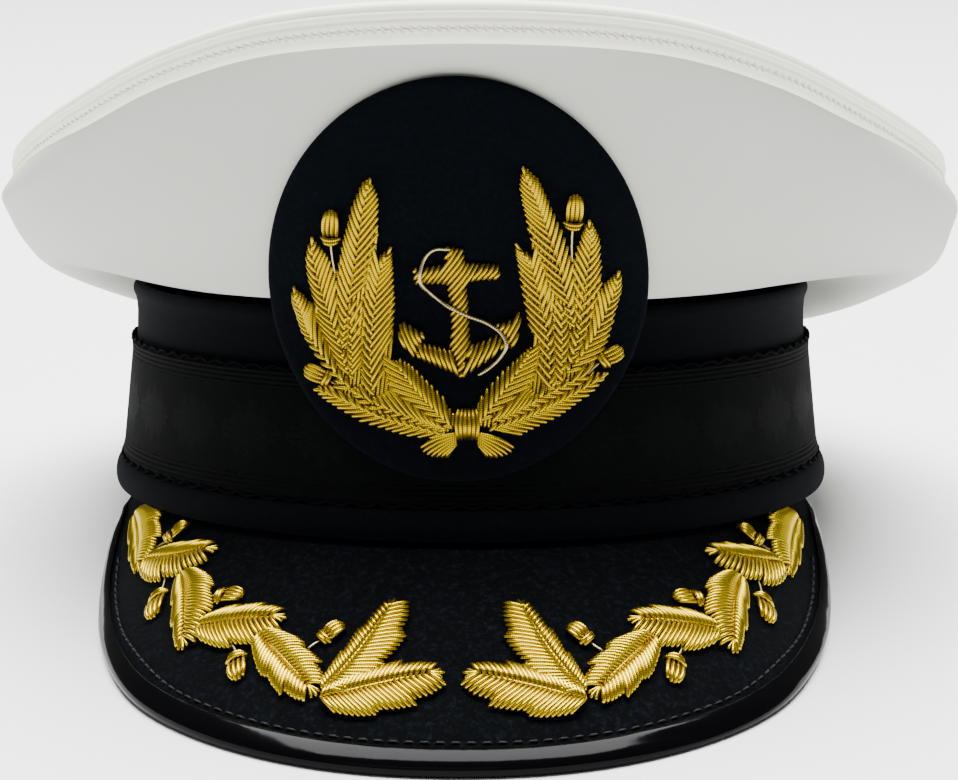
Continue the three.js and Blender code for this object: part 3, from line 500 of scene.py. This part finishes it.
def face_of(piece, start, way):
    """Gives a function of two coordinates in millimetres that finds the place on a piece's
    face and the way up from it, evened out over a few millimetres."""
    tree = BVHTree.FromObject(piece, bpy.context.evaluated_depsgraph_get())

    def hit(u, v):
        for slip in (0.0, 0.03, 0.07):         # a ray may pass between two faces
            origin = start(u + slip, v + slip)
            found = tree.ray_cast(origin, way)[0]
            if found is not None:
                return found
        middle = tree.find_nearest(origin)[0]  # beside the piece, the nearest place on it
        return tree.find_nearest(origin + way * (middle - origin).dot(way))[0]

    def spot(u, v, step=1.5):
        across = hit(u + step, v) - hit(u - step, v)
        along = hit(u, v + step) - hit(u, v - step)
        up = across.cross(along).normalized()
        return hit(u, v), -up if up.dot(way) > 0 else up
    return spot


def curve(a, b, c):
    """Bent line through three places by the share of its length."""
    a, b, c = Vector(a), Vector(b), Vector(c)
    pull = 2 * b - (a + c) / 2
    return lambda t: a * (1 - t) ** 2 + pull * 2 * t * (1 - t) + c * t * t


def through(places):
    """Smooth line through a list of places by the share of the way along it."""
    last = len(places) - 1
    across = {k: place[0] for k, place in enumerate(places)}
    up = {k: place[1] for k, place in enumerate(places)}
    return lambda share: Vector((between(across, share * last, False),
                                 between(up, share * last, False)))


def stroke(spot, line, rise, thick, cuts=SHORT):
    """One cord on a face: line gives its place by the share of its length and rise how high
    its underside is there."""
    middles, ups = [], []
    for share in cuts:
        place, up = spot(*line(share))
        middles.append(place + up * (rise(share) + thick / 2) * MM)
        ups.append(up)
    return middles, ups, thick * MM


# ---------------------------------------------------------------- band, crown and peak

# How much fuller the crown hangs at its sides, by the worn height and by the height under
# the hoop. It starts 85 mm off the middle and is full 15 mm further out.
FULLER = table({42: 0, 46: 1.5, 49: 3.0, 52: 3.2, 55: 2.2, 59: 1.0, 65: 0})
UNDER_HOOP = table({-16: 0, -9: 0.7, -6: 0.5, -4: 0})
FULL_ASIDE = table({85: 0, 100: 1})


def slack(corner):
    """Cloth hangs a little fuller at the sides than its pattern."""
    place = (FROM_WORN @ corner) / MM
    angle = from_front(math.degrees(math.atan2(place.x, -place.y)))
    under = place.z - between(HOOP_HEIGHTS, angle)
    fuller = (FULLER(place.z) + UNDER_HOOP(under)) * FULL_ASIDE(abs(place.x))
    place.x += math.copysign(fuller, place.x)
    return worn(*place)


soft_form("band", DARK_CLOTH, "dark_cloth", 0.0)
soft_form("band_roll", DARK_CLOTH, "dark_cloth", 0.4)
soft_form("crown_front_quarter", WHITE, "white_cloth", shape=slack)
soft_form("crown_back_quarter", WHITE, "white_cloth", shape=slack)
soft_form("crown_top", WHITE, "white_cloth")
peak = soft_form("peak", PEAK_CLOTH, "dark_cloth")
soft_form("peak_edging", PATENT, "patent_leather", 0.5)
patch = soft_form("badge_patch", FELT, "felt")

# ---------------------------------------------------------------- lace

# Section of the lace in outs and ups: a corded edge, a little thicker than its middle.
LACE_EDGE = [(1.2, 0.0), (1.35, 0.9), (1.2, 1.8)]
LACE_MIDDLE = {"out": 1.05, "inset": 3.0, "points": 7}
LACE_BACK = 0.35
PICOTS = 92                                    # loops along an edge, one every 6.4 mm
PICOT = {"cord": 0.42, "swing": 0.9, "proud": 1.25, "inset": 0.2}


def lace_braid():
    """The woven strip of the lace, wound round the band."""
    low, high = LACE["low"], LACE["high"]
    step = (high - low - 2 * LACE_MIDDLE["inset"]) / (LACE_MIDDLE["points"] - 1)
    section = [(out, low + up) for out, up in LACE_EDGE]
    section += [(LACE_MIDDLE["out"], low + LACE_MIDDLE["inset"] + step * k)
                for k in range(LACE_MIDDLE["points"])]
    section += [(out, high - up) for out, up in reversed(LACE_EDGE)]
    section += [(LACE_BACK, high), (LACE_BACK, low)]
    round_the_cap("lace_braid", section, 168, lambda angle, out, up: on_band(angle, up, out),
                  LACE_CLOTH, "lace_cloth", "lace")


def lace_picot(edge_name, edge, side):
    """Looped cord along an edge of the lace."""
    def place(angle, out, up):
        swing = abs(math.sin(math.radians(angle) * PICOTS / 2))
        return on_band(angle, edge + side * PICOT["swing"] * swing + up, PICOT["proud"] + out)
    turns = [math.tau * k / 6 for k in range(6)]
    section = [(PICOT["cord"] * math.cos(turn), PICOT["cord"] * math.sin(turn))
               for turn in turns]
    round_the_cap(f"lace_picot_{edge_name}", section, PICOTS * 8, place, LACE_CLOTH,
                  "lace_cloth")


lace_braid()
lace_picot("low", LACE["low"] + PICOT["inset"], -1)
lace_picot("high", LACE["high"] - PICOT["inset"], 1)

# ---------------------------------------------------------------- welt

# The welt is a binding over three pipings, stacked up the outside of the hoop. Under it the
# crown's cloth turns over the hoop's wire in a soft lip. Both are outs and ups from the hoop.
WELT_SECTION = [(-0.6, -5.0), (-0.1, -4.7), (0.2, -4.1), (0.25, -3.5), (0.05, -3.05),
                (0.3, -2.6), (0.55, -2.0), (0.45, -1.4), (0.1, -1.1), (0.25, -0.7),
                (0.25, -0.2), (-0.1, 0.35), (-0.7, 0.7), (-1.5, 0.9), (-2.4, 0.75),
                (-3.1, 0.2), (-3.2, -1.2), (-2.2, -3.6)]
LIP_SECTION = [(-1.9, -4.2), (-0.9, -4.5), (-0.1, -5.0), (0.3, -5.6), (0.4, -6.2),
               (0.25, -6.9), (-0.2, -7.6), (-0.9, -8.2), (-1.8, -7.6), (-2.2, -6.0)]
HOOP_STEPS = 240
WELT_STITCHES = 372                            # one every 2 mm


def welt_stitches():
    """Slanting stitches, none quite like the next, that draw the welt down to the lip."""
    strokes = []
    for k in range(WELT_STITCHES):
        start = 360 * k / WELT_STITCHES
        slip = 0.3 * math.sin(2.3 * k) + 0.2 * math.sin(0.7 * k)
        places = []
        for share in SHORT:
            sunk = 0.35 * (2 * share - 1) ** 4     # its ends dip into the cloth
            down = 4.5 - 0.3 * slip + (1.2 + 0.5 * slip) * share
            along = start + 0.62 * share
            places.append(on_hoop(along, 0.25 - sunk, -down))
        strokes.append((places, [TURNED @ Vector((0, 0, 1))] * len(SHORT), 0.45 * MM))
    lay_cords("welt_stitches", strokes, CREAM_THREAD, "welt_cloth")


# The lip is the crown's own cloth, but it takes the welt's near white: painted light where it
# turns up over the hoop.
round_the_cap("crown_welt_binding", WELT_SECTION, HOOP_STEPS, on_hoop, WELT_CLOTH,
              "welt_cloth", "crown_welt")
round_the_cap("crown_hoop_lip", LIP_SECTION, HOOP_STEPS, on_hoop, WELT_CLOTH, "welt_cloth")
welt_stitches()

# ---------------------------------------------------------------- embroidery

# badge finds a place on the patch by how far across and up it is as worn, and brim one on
# the peak by where it rests, seen from above.
IN_FRONT, ABOVE = -250, 200                    # clear of the badge and of the peak
badge = face_of(patch, lambda u, v: worn(u, IN_FRONT, v), TURNED @ Vector((0, 1, 0)))
brim = face_of(peak, lambda u, v: Vector((u, v, ABOVE)) * MM, Vector((0, 0, -1)))


def inside(outline, place):
    """Whether a place lies inside a closed outline."""
    crossed = False
    for (ax, ay), (bx, by) in zip(outline, outline[1:] + outline[:1]):
        if (ay > place.y) != (by > place.y):
            crossed ^= place.x < ax + (bx - ax) * (place.y - ay) / (by - ay)
    return crossed


def feathers(spot, ribs, outline, cord, pad):
    """Strands of a branch whose leaves lie close together, leaf by leaf. They leave each
    midrib in pairs, slanting to its tip, and run until they meet another leaf's or the
    branch's outline."""
    step, shortest, longest = 0.25, 0.9, 9
    before_base = -1.2                         # a leaf starts this far before its midrib
    beads = 40                                 # points that stand for a midrib
    lines = [through(places) for places in ribs]
    rows = [[line(k / beads) for k in range(beads + 1)] for line in lines]

    def nearest(place):
        best, owner = math.inf, None
        for number, row in enumerate(rows):
            if (place - row[0]).dot((row[1] - row[0]).normalized()) > before_base:
                far = min((place - bead).length_squared for bead in row)
                if far < best:
                    best, owner = far, number
        return owner

    for number, (line, row) in enumerate(zip(lines, rows)):
        long = sum((b - a).length for a, b in zip(row, row[1:]))
        strokes = []
        half_a_strand = 0.45 * cord / 0.53 / long
        for side, at in ((1, 0.0), (-1, half_a_strand)):
            while at < 0.985:
                root = line(at)
                way = (line(min(1, at + 0.02)) - line(max(0, at - 0.02))).normalized()
                slant = math.radians(32 - 10 * at ** 3)
                turned = Matrix.Rotation(side * slant, 2) @ way
                run = 2 * step
                while (run < longest and nearest(root + turned * run) == number
                       and inside(outline, root + turned * run)):
                    run += step
                at_edge = not inside(outline, root + turned * run)
                if run > shortest:
                    start = root - turned * 0.4
                    end = root + turned * (run + (0.25 if at_edge else 0.45))
                    low = 0.05 if at_edge else 0.45
                    strokes.append(stroke(
                        spot, curve(start, (start + end) / 2, end),
                        table({0: 0.75 * pad, 0.25: pad, 0.6: pad, 0.85: (0.35 + low / 2) * pad,
                               1: low * pad}), cord * 1.06))
                at += cord / math.sin(slant) / long
        way = (line(1) - line(0.96)).normalized()
        strokes.append(stroke(spot, curve(line(0.88), line(0.95), line(1) + way * 0.4),
                              lambda share: pad * (0.8 - 0.7 * share), cord))
        yield strokes


def oak_leaf(spot, line, widths, shape, lean, cord, pad):
    """Strands of an oak leaf: they leave its midrib in pairs, sweep towards the tip and come
    down at its lobed edge. lean gives their angle by the share of the way to the tip."""
    rib = curve(*line)
    long = (rib(0.5) - rib(0)).length + (rib(1) - rib(0.5)).length
    last = 1 - 2.4 / long                      # three strands of their own end the leaf
    over = table({0: 0.45, 0.05: 0.75, 0.25: 1, 0.5: 0.97, 0.75: 0.8, 0.95: 0.35, 1: 0.1})
    strokes = []
    for side, width in zip((1, -1), widths):
        at = -0.03
        while at < last:
            root = rib(at)
            way = (rib(at + 0.02) - rib(at - 0.02)).normalized()
            aside = Vector((-way.y, way.x)) * side
            slant = math.radians(lean(at))
            wide = width * shape(at)
            end = root + aside * wide + way * wide / math.tan(slant)
            bend = root + aside * wide * 0.53 + way * wide * 0.47 / math.tan(slant)
            swell = pad * min(1, 0.4 + wide / 5)
            strokes.append(stroke(spot, curve(root, bend, end),
                                  lambda share, swell=swell: swell * over(share), cord * 1.22))
            at += cord / math.sin(slant) / long
    way = (rib(1) - rib(0.97)).normalized()
    for turn, run in ((-24, 2.6), (24, 2.6), (0, 3.0)):
        turned = Matrix.Rotation(math.radians(turn), 2) @ way
        root = rib(last)
        strokes.append(stroke(spot, curve(root, root + turned * run / 2, root + turned * run),
                              lambda share: pad * (0.75 - 0.6 * share), cord))
    return strokes


def acorn(spot, stalk, cup, tip, cord, pad):
    """Strands of an acorn: four upright ones for the nut and two across for its cup. The
    thin stem is a stroke of its own."""
    stalk, cup, tip = Vector(stalk), Vector(cup), Vector(tip)
    way = (tip - cup).normalized()
    aside = Vector((-way.y, way.x))
    strokes = []
    upright = 4
    middle = (upright - 1) / 2
    for k in range(upright):
        out = (k - middle) * cord
        short = 0.55 * abs(out) ** 1.5 / middle            # rounds the nut's end
        base = cup + way * 1.6 + aside * out * 0.9
        belly = (cup + tip) / 2 + way + aside * out
        end = tip - way * short + aside * out * 0.62
        rise = table({0: 0.4 * pad, 0.3: pad - 0.12 * abs(out), 0.7: pad - 0.15 * abs(out),
                      1: 0.1})
        strokes.append(stroke(spot, curve(base, belly, end), rise, cord))
    for up, half in ((1.25, middle * cord + 0.75), (0.45, middle * cord + 0.25)):
        line = curve(cup + way * up - aside * half, cup + way * (up - 0.25),
                     cup + way * up + aside * half)
        rise = table({0: 0, 0.2: 0.8 * pad, 0.5: pad, 0.8: 0.8 * pad, 1: 0})
        strokes.append(stroke(spot, line, rise, cord))
    stem = stroke(spot, curve(stalk, (stalk + cup) / 2 + aside * 0.2, cup + way * 0.3),
                  lambda share: 0.3, 0.55)
    return strokes, stem


def hatched(spot, outline, angle, cord, pad, short=0.0):
    """Strands that fill an outline side by side at one angle, their ends short of it."""
    way = Vector((math.cos(math.radians(angle)), math.sin(math.radians(angle))))
    aside = Vector((-way.y, way.x))
    corners = [Vector(corner) for corner in outline]
    outs = [corner.dot(aside) for corner in corners]
    strokes = []
    span = max(outs) - min(outs)
    rows = max(1, round(span / cord))
    for k in range(rows):
        out = min(outs) + (k + 0.5) * span / rows
        meets = []
        for a, b in zip(corners, corners[1:] + corners[:1]):
            low, high = a.dot(aside), b.dot(aside)
            if (low <= out) != (high <= out):
                meets.append(a.lerp(b, (out - low) / (high - low)).dot(way))
        meets.sort()
        for start, end in zip(meets[::2], meets[1::2]):
            if end - start > 0.6 + 2 * short:
                a = aside * out + way * (start + short)
                b = aside * out + way * (end - short)
                swell = pad * min(1, (end - start) / 2.5)
                rise = table({0: 0, 0.05: 0.25 * swell, 0.25: 0.9 * swell, 0.5: swell,
                              0.75: 0.9 * swell, 0.95: 0.25 * swell, 1: 0})
                strokes.append(stroke(spot, curve(a, (a + b) / 2, b), rise, cord))
    return strokes


# ---------------------------------------------------------------- wreath on the badge

# Midribs of the wreath's leaves from base to tip, across and up the patch, and the outline
# of each branch.
WREATH = {
    "left": [
        ((-25, 42), (-24, 51), (-22, 61), (-20.5, 71), (-18.5, 80)),
        ((-24, 37), (-26, 44), (-28.5, 51.5), (-30.5, 59), (-31.5, 67)),
        ((-18.5, 32.5), (-19, 40), (-18.5, 47.5), (-17.5, 54.5), (-16.5, 60), (-14.5, 65)),
        ((-16, 28), (-25, 35), (-32, 44), (-34, 49.5), (-36, 55.5)),
        ((-23, 36), (-23, 43), (-23.5, 52.5)),
        ((-1.5, 25.5), (-6, 30), (-10, 34.5), (-13.5, 39.5)),
        ((-2, 23.5), (-9.5, 25.5), (-17, 27.5), (-24, 30.5), (-31, 33)),
        ((-3, 25), (-8.5, 27), (-17, 30), (-25, 34)),
    ],
    "right": [
        ((24.5, 47.5), (22, 57.5), (19, 68.5), (16.5, 75.5), (14, 82.5)),
        ((23, 36), (25.5, 45.5), (27, 56.5), (28, 65.5), (28, 71)),
        ((19.5, 34), (19, 44.5), (17, 54.5), (15, 62), (12.5, 66)),
        ((17.5, 32), (24, 38), (29, 45), (32.5, 53), (34.5, 59.5)),
        ((22, 35.5), (22, 43.5), (22, 52)),
        ((4.5, 26.5), (9, 32.5), (13, 38), (15.5, 42.5)),
        ((7, 25), (15.5, 28), (23, 31.5), (32, 36.5)),
        ((7.5, 27), (13.5, 29.5), (20, 33), (27, 36.5)),
    ],
}
BRANCH = {
    "left": [(-18.5, 80), (-17, 75.5), (-17.5, 62.5), (-14.5, 65), (-14, 53.5), (-14.5, 41),
             (-10, 38.5), (-5, 33.5), (-1, 29.5), (-1, 25), (-2, 23), (-10.5, 23.5),
             (-21.5, 26.5), (-29.5, 31), (-31.5, 33), (-26.5, 34.5), (-30.5, 39.5), (-34.5, 46),
             (-36.5, 53), (-36, 55.5), (-31, 50.5), (-32.5, 57.5), (-33, 62), (-31.5, 67),
             (-28, 62), (-26.5, 58), (-24.5, 66.5), (-22.5, 73.5), (-20, 79)],
    "right": [(14, 82.5), (17, 80), (19.5, 74.5), (22, 69), (24.5, 61.5), (26, 66), (28, 71),
              (30, 67), (30.5, 61), (30.5, 55.5), (34.5, 59.5), (35, 56), (33, 47.5), (31, 41),
              (28, 37), (32, 36.5), (28.5, 32.5), (22, 28), (15.5, 25), (12.5, 23.5), (4, 25),
              (4, 31), (9, 37), (14, 41.5), (16, 43), (15, 49), (13.5, 57.5), (12.5, 65.5),
              (16, 63), (15, 70), (13.5, 78.5)],
}
# An acorn's stem, its cup and its tip.
BADGE_ACORNS = {
    "left_high": ((-26.5, 58), (-27.5, 66), (-27, 73.5)),
    "left_low": ((-26.5, 34), (-28, 35), (-34, 37.5)),
    "right_high": ((24.5, 61.5), (24.5, 69.5), (25, 77)),
    "right_low": ((28, 36.5), (30.5, 39), (35.5, 42)),
}
WREATH_CORD, WREATH_PAD = 0.88, 1.0            # how thick and how high its strands are laid
PADDING = {"angle": 84, "pad": 0.3, "short": 0.7}       # strands under the leaves


def wreath_branch(branch):
    """A branch of the wreath: padding strands and its eight leaves over them."""
    outline = BRANCH[branch]
    padding = hatched(badge, outline, PADDING["angle"], WREATH_CORD, PADDING["pad"],
                      PADDING["short"])
    lay_cords(f"laurel_padding_{branch}", padding, GOLD, "gold_thread")
    leaves = feathers(badge, WREATH[branch], outline, WREATH_CORD, WREATH_PAD)
    for number, strokes in enumerate(leaves, 1):
        lay_cords(f"laurel_{branch}_{number}", strokes, GOLD, "gold_thread",
                  f"wreath_leaf_{branch}_{number}")


def badge_acorn(name):
    """An acorn of the wreath; gives its stem."""
    nut, stem = acorn(badge, *BADGE_ACORNS[name], 0.95, 1.1)
    lay_cords(f"laurel_acorn_{name}", nut, GOLD, "gold_thread", f"wreath_acorn_{name}")
    return stem


for branch in WREATH:
    wreath_branch(branch)
stems = [badge_acorn(name) for name in BADGE_ACORNS]

# ---------------------------------------------------------------- oak sprays on the peak

# The left spray seen from above at rest, from the middle of the cap: each leaf's midrib from
# base to tip and how wide it is on its two sides.
SPRAY = {
    1: ((77.5, -37), (75, -49.5), (74, -61.5), 5.2, 2.8),
    2: ((71, -62), (63.5, -68.5), (55, -72.5), 4.2, 6.6),
    3: ((61.5, -78), (59.5, -89), (59, -102.5), 6.1, 3.5),
    4: ((55.5, -98.5), (47, -101), (36.5, -104), 4.6, 7.1),
    5: ((41, -108), (35, -117), (28.5, -126), 5.4, 5.3),
    6: ((26.5, -125), (19.5, -116.5), (13, -103), 3.6, 7.2),
    7: ((26.5, -127.5), (15.5, -126), (2, -123.5), 4.9, 6.8),
}
# How wide a leaf is, lobe by lobe, and how its strands lean, by the share of the way to its tip.
OAK = table({-0.1: 0.4, 0.03: 0.72, 0.15: 0.93, 0.28: 1.0, 0.3: 0.82, 0.42: 0.93, 0.58: 0.97,
             0.6: 0.76, 0.75: 0.68, 0.9: 0.44, 1: 0.3})
OAK_LEAN = table({0: 56, 0.6: 52, 1: 42})
RIB_RISE = table({0: 0.1, 0.2: 1.2, 0.8: 1.1, 1: 0.6})
SPRAY_ACORNS = {
    1: ((70.5, -57.5), (68, -58), (62.5, -57)),
    2: ((66.5, -73.5), (67, -78.5), (67.5, -86.5)),
    3: ((55, -89), (52.5, -90.5), (46.5, -93.5)),
    4: ((48, -107), (46.5, -110.5), (45.5, -117.5)),
    5: ((31, -114), (28.5, -112.5), (23.5, -109)),
}
SPRAY_CORD, SPRAY_PAD = 0.82, 1.5


def beside(side, places):
    """Places of the left spray on the given side of the cap."""
    return [(side * across + STAND.x, along) for across, along in places]


def spray_leaf(side, side_name, number):
    """An oak leaf with a cord laid over its midrib, which runs on past the first leaf's base."""
    *places, left, right = SPRAY[number]
    places = beside(side, places)
    widths = (left, right) if side < 0 else (right, left)
    strokes = oak_leaf(brim, places, widths, OAK, OAK_LEAN, SPRAY_CORD, SPRAY_PAD)
    rib = curve(*places)
    early = -0.16 if number == 1 else 0.0
    strokes.append(stroke(brim, lambda share: rib(early + share * (0.92 - early)), RIB_RISE,
                          0.7))
    lay_cords(f"oak_{side_name}_{number}", strokes, BRIGHT_GOLD, "bright_gold_thread",
              f"peak_leaf_{side_name}_{number}")


def spray_acorn(side, side_name, number):
    """An acorn of a spray; gives its stem."""
    nut, stem = acorn(brim, *beside(side, SPRAY_ACORNS[number]), 1.05, 1.2)
    lay_cords(f"oak_acorn_{side_name}_{number}", nut, BRIGHT_GOLD, "bright_gold_thread",
              f"peak_acorn_{side_name}_{number}")
    return stem


for side, side_name in ((-1, "left"), (1, "right")):
    for number in SPRAY:
        spray_leaf(side, side_name, number)
    stems += [spray_acorn(side, side_name, number) for number in SPRAY_ACORNS]
lay_cords("acorn_stems", stems, PALE, "pale_thread")

# ---------------------------------------------------------------- fouled anchor

# The anchor's parts, each with the slant that its cords are laid at and its outline: stock
# and shank, left arm, right arm, left fluke, right fluke.
ANCHOR_PARTS = [
    (55, ((-2.5, 65.5), (1, 65), (1.5, 62), (8.5, 61.5), (9, 58.5), (1.5, 57.5), (2, 53.5),
          (2.5, 43.5), (0.5, 36), (-2, 42.5), (-1.5, 47), (-2, 53.5), (-2.5, 57),
          (-9.5, 57), (-9.5, 60.5), (-3, 61.5))),
    (108, ((-2, 42.5), (-4, 43), (-8.5, 44), (-9, 41), (-7.5, 40), (-4, 38.5), (-0.5, 37),
           (0.5, 36))),
    (66, ((2.5, 43.5), (5.5, 44.5), (9, 46), (10, 43.5), (7, 40.5), (2.5, 37.5), (0.5, 36))),
    (112, ((-12.5, 49), (-7.5, 46), (-7.5, 44.5), (-8.5, 43), (-9, 41), (-10, 40.5),
           (-12, 43.5), (-13, 45.5))),
    (64, ((13, 51), (13.5, 49), (12.5, 45), (11.5, 42.5), (10, 43.5), (9, 46), (8, 48),
          (11, 49))),
]
# The cable in the order that it is couched: across, up and how high it rides over the rest.
CABLE = [(-1.6, 65.4, 1.4), (-4.3, 65.0, 0.5), (-6.0, 64.1, 0.2), (-7.3, 62.5, 0.6),
         (-8.0, 60.1, 1.9), (-7.8, 57.6, 1.9), (-6.1, 55.2, 0.6), (-4.0, 53.4, 0.3),
         (-1.4, 52.1, 1.8), (2.5, 50.1, 1.9), (6.4, 48.1, 0.5), (9.0, 46.2, 1.3),
         (10.1, 43.5, 1.9), (9.0, 40.9, 0.9), (7.0, 38.7, 0.2), (4.2, 36.8, 0.1)]
CABLE_THICK = 0.8


def anchor():
    """The anchor, hatched part by part."""
    strokes = [cord for angle, outline in ANCHOR_PARTS
               for cord in hatched(badge, outline, angle, 0.92, 1.1)]
    lay_cords("fouled_anchor", strokes, GOLD, "gold_thread", "anchor")


def anchor_cable():
    """The cable that fouls the anchor."""
    rises = {k: rise for k, (_, _, rise) in enumerate(CABLE)}
    last = len(CABLE) - 1
    cable = stroke(badge, through(CABLE), lambda share: between(rises, share * last),
                   CABLE_THICK, LONG)
    lay_cords("anchor_cable", [cable], PALE, "pale_thread", "anchor_rope", cuts=LONG)


anchor()
anchor_cable()

# ---------------------------------------------------------------- knot of the wreath

KNOT = {"across": 1.85, "low": 22.8, "middle": 26.1, "high": 29.5}
KNOT_CORDS = 6
# Ends of a ribbon's cords, out from the knot's middle and up.
RIBBON_ENDS = [(10.0, 20.9), (9.5, 20.0), (8.6, 19.4), (7.6, 19.1), (6.5, 18.9), (5.4, 18.9),
               (4.4, 19.1)]
RIBBON_RISE = table({0: 0.9, 0.3: 1.2, 0.7: 1.0, 1: 0.1})


def knot():
    """The knot is a bundle of upright cords, drawn in at both ends."""
    strokes = []
    for k in range(KNOT_CORDS):
        out = (k - (KNOT_CORDS - 1) / 2) * 0.9
        swell = 2.6 - 0.2 * out * out
        drawn_in = KNOT["across"] + out * 0.84
        strokes.append(stroke(
            badge, curve((drawn_in, KNOT["low"]), (KNOT["across"] + out, KNOT["middle"]),
                         (drawn_in, KNOT["high"])),
            table({0: 0.2, 0.15: 0.75 * swell, 0.5: swell, 0.85: 0.75 * swell, 1: 0.2}), 0.95))
    lay_cords("wreath_knot", strokes, GOLD, "gold_thread", "wreath_tie")


def knot_ribbon(side, side_name):
    """A short ribbon end that fans out below the knot."""
    fan = []
    for k, end in enumerate(RIBBON_ENDS):
        start, end = Vector((2.3, 24.2 - 0.35 * k)), Vector(end)
        bend = (start + end) / 2 + Vector((0.4, 0.5 - 0.15 * k))
        line = curve(*((KNOT["across"] + side * out, up) for out, up in (start, bend, end)))
        fan.append(stroke(badge, line, RIBBON_RISE, 0.9))
    lay_cords(f"knot_ribbon_{side_name}", fan, GOLD, "gold_thread", f"ribbon_{side_name}")


knot()
knot_ribbon(-1, "left")
knot_ribbon(1, "right")

# ---------------------------------------------------------------- stitching of the peak

# How far the seam runs inside the peak's edge, seen from above, by the angle from the front.
SEAM_INSET = {0: 14.6, 12: 14.1, 24: 12.6, 36: 10.2, 48: 7.0, 60: 4.9, 66: 3.7}
SEAM_STITCH = {"long": 2.2, "pitch": 1.45, "thick": 0.5}     # the pitch is in stitch lengths
SEAM_RISE = table({0: -0.4, 0.25: 0, 0.75: 0, 1: -0.4})


def peak_stitches():
    """Row of stitches through the peak's cloth, just inside its patent edging."""
    across = {angle: row[0] for angle, row in PEAK_EDGE.items()}
    forward = {angle: row[1] for angle, row in PEAK_EDGE.items()}
    middle_x, middle_y = PEAK_MIDDLE

    def edge(angle):
        return Vector((math.copysign(between(across, abs(angle), False), angle) + middle_x,
                       middle_y - between(forward, abs(angle))))

    def seam(angle):
        way = (edge(angle + 0.5) - edge(angle - 0.5)).normalized()
        return edge(angle) + Vector((-way.y, way.x)) * between(SEAM_INSET, abs(angle))

    last = max(SEAM_INSET)
    angle, strokes = -last, []
    while angle < last:
        run = SEAM_STITCH["long"] / (seam(angle + 1) - seam(angle)).length
        strokes.append(stroke(brim, lambda share: seam(angle + run * share), SEAM_RISE,
                              SEAM_STITCH["thick"]))
        angle += SEAM_STITCH["pitch"] * run
    lay_cords("peak_stitches", strokes, BLACK_THREAD, "dark_cloth")


peak_stitches()

# ---------------------------------------------------------------- camera, light and floor

# The camera in the worn frame: how far it stands off, how many degrees round to the right,
# how high, how many degrees it looks down, and its focal length and sideways shift as shares
# of the picture's width.
EYE = {"away": 700.0, "round": 1.5, "height": 107.0, "down": 7.0, "focal": 2765 / 958,
       "shift": 8 / 958}
SENSOR = 36.0
FLOOR_HALF = 4.0                               # metres


def camera():
    turn = math.radians(EYE["round"])
    data = bpy.data.cameras.new("camera")
    data.sensor_width = SENSOR
    data.lens = EYE["focal"] * SENSOR
    data.shift_x = EYE["shift"]
    eye = bpy.data.objects.new("camera", data)
    bpy.context.collection.objects.link(eye)
    place = worn(EYE["away"] * math.sin(turn), -EYE["away"] * math.cos(turn), EYE["height"])
    look = Matrix.Rotation(turn, 4, "Z") @ Matrix.Rotation(math.radians(90 - EYE["down"]), 4, "X")
    rest = Matrix.Rotation(-PITCH, 4, "X") @ look
    eye.matrix_world = Matrix.Translation(place) @ rest
    bpy.context.scene.camera = eye


def lamp(name, place, aim, size, watts):
    """Soft light from a panel, its places and sizes in metres."""
    data = bpy.data.lights.new(name, "AREA")
    data.shape = "RECTANGLE"
    data.size, data.size_y = size
    data.energy = watts
    light = bpy.data.objects.new(name, data)
    bpy.context.collection.objects.link(light)
    light.location = place
    light.rotation_mode = "QUATERNION"
    light.rotation_quaternion = (Vector(aim) - Vector(place)).to_track_quat("-Z", "Y")


def floor():
    mesh = bmesh.new()
    bmesh.ops.create_grid(mesh, x_segments=1, y_segments=1, size=FLOOR_HALF)
    data = bpy.data.meshes.new("floor")
    mesh.to_mesh(data)
    mesh.free()
    ground = bpy.data.objects.new("floor", data)
    bpy.context.collection.objects.link(ground)
    material, _ = finish_of("pale_floor", {"Base Color": rgb("#f4f4f4"), "Roughness": 0.9})
    data.materials.append(material)


def studio_air():
    """Even white light from all round, for the shadows."""
    world = bpy.data.worlds.new("studio")
    bpy.context.scene.world = world
    world.use_nodes = True
    background = world.node_tree.nodes["Background"]
    background.inputs["Color"].default_value = rgb("#ffffff")
    background.inputs["Strength"].default_value = 0.18


camera()
floor()
lamp("overhead", (0.0, 0.25, 1.6), (0, 0, 0.08), (1.6, 1.2), 165.0)
lamp("front_fill", (-0.3, -1.6, 0.7), (0, 0, 0.05), (1.2, 0.8), 2.0)
studio_air()
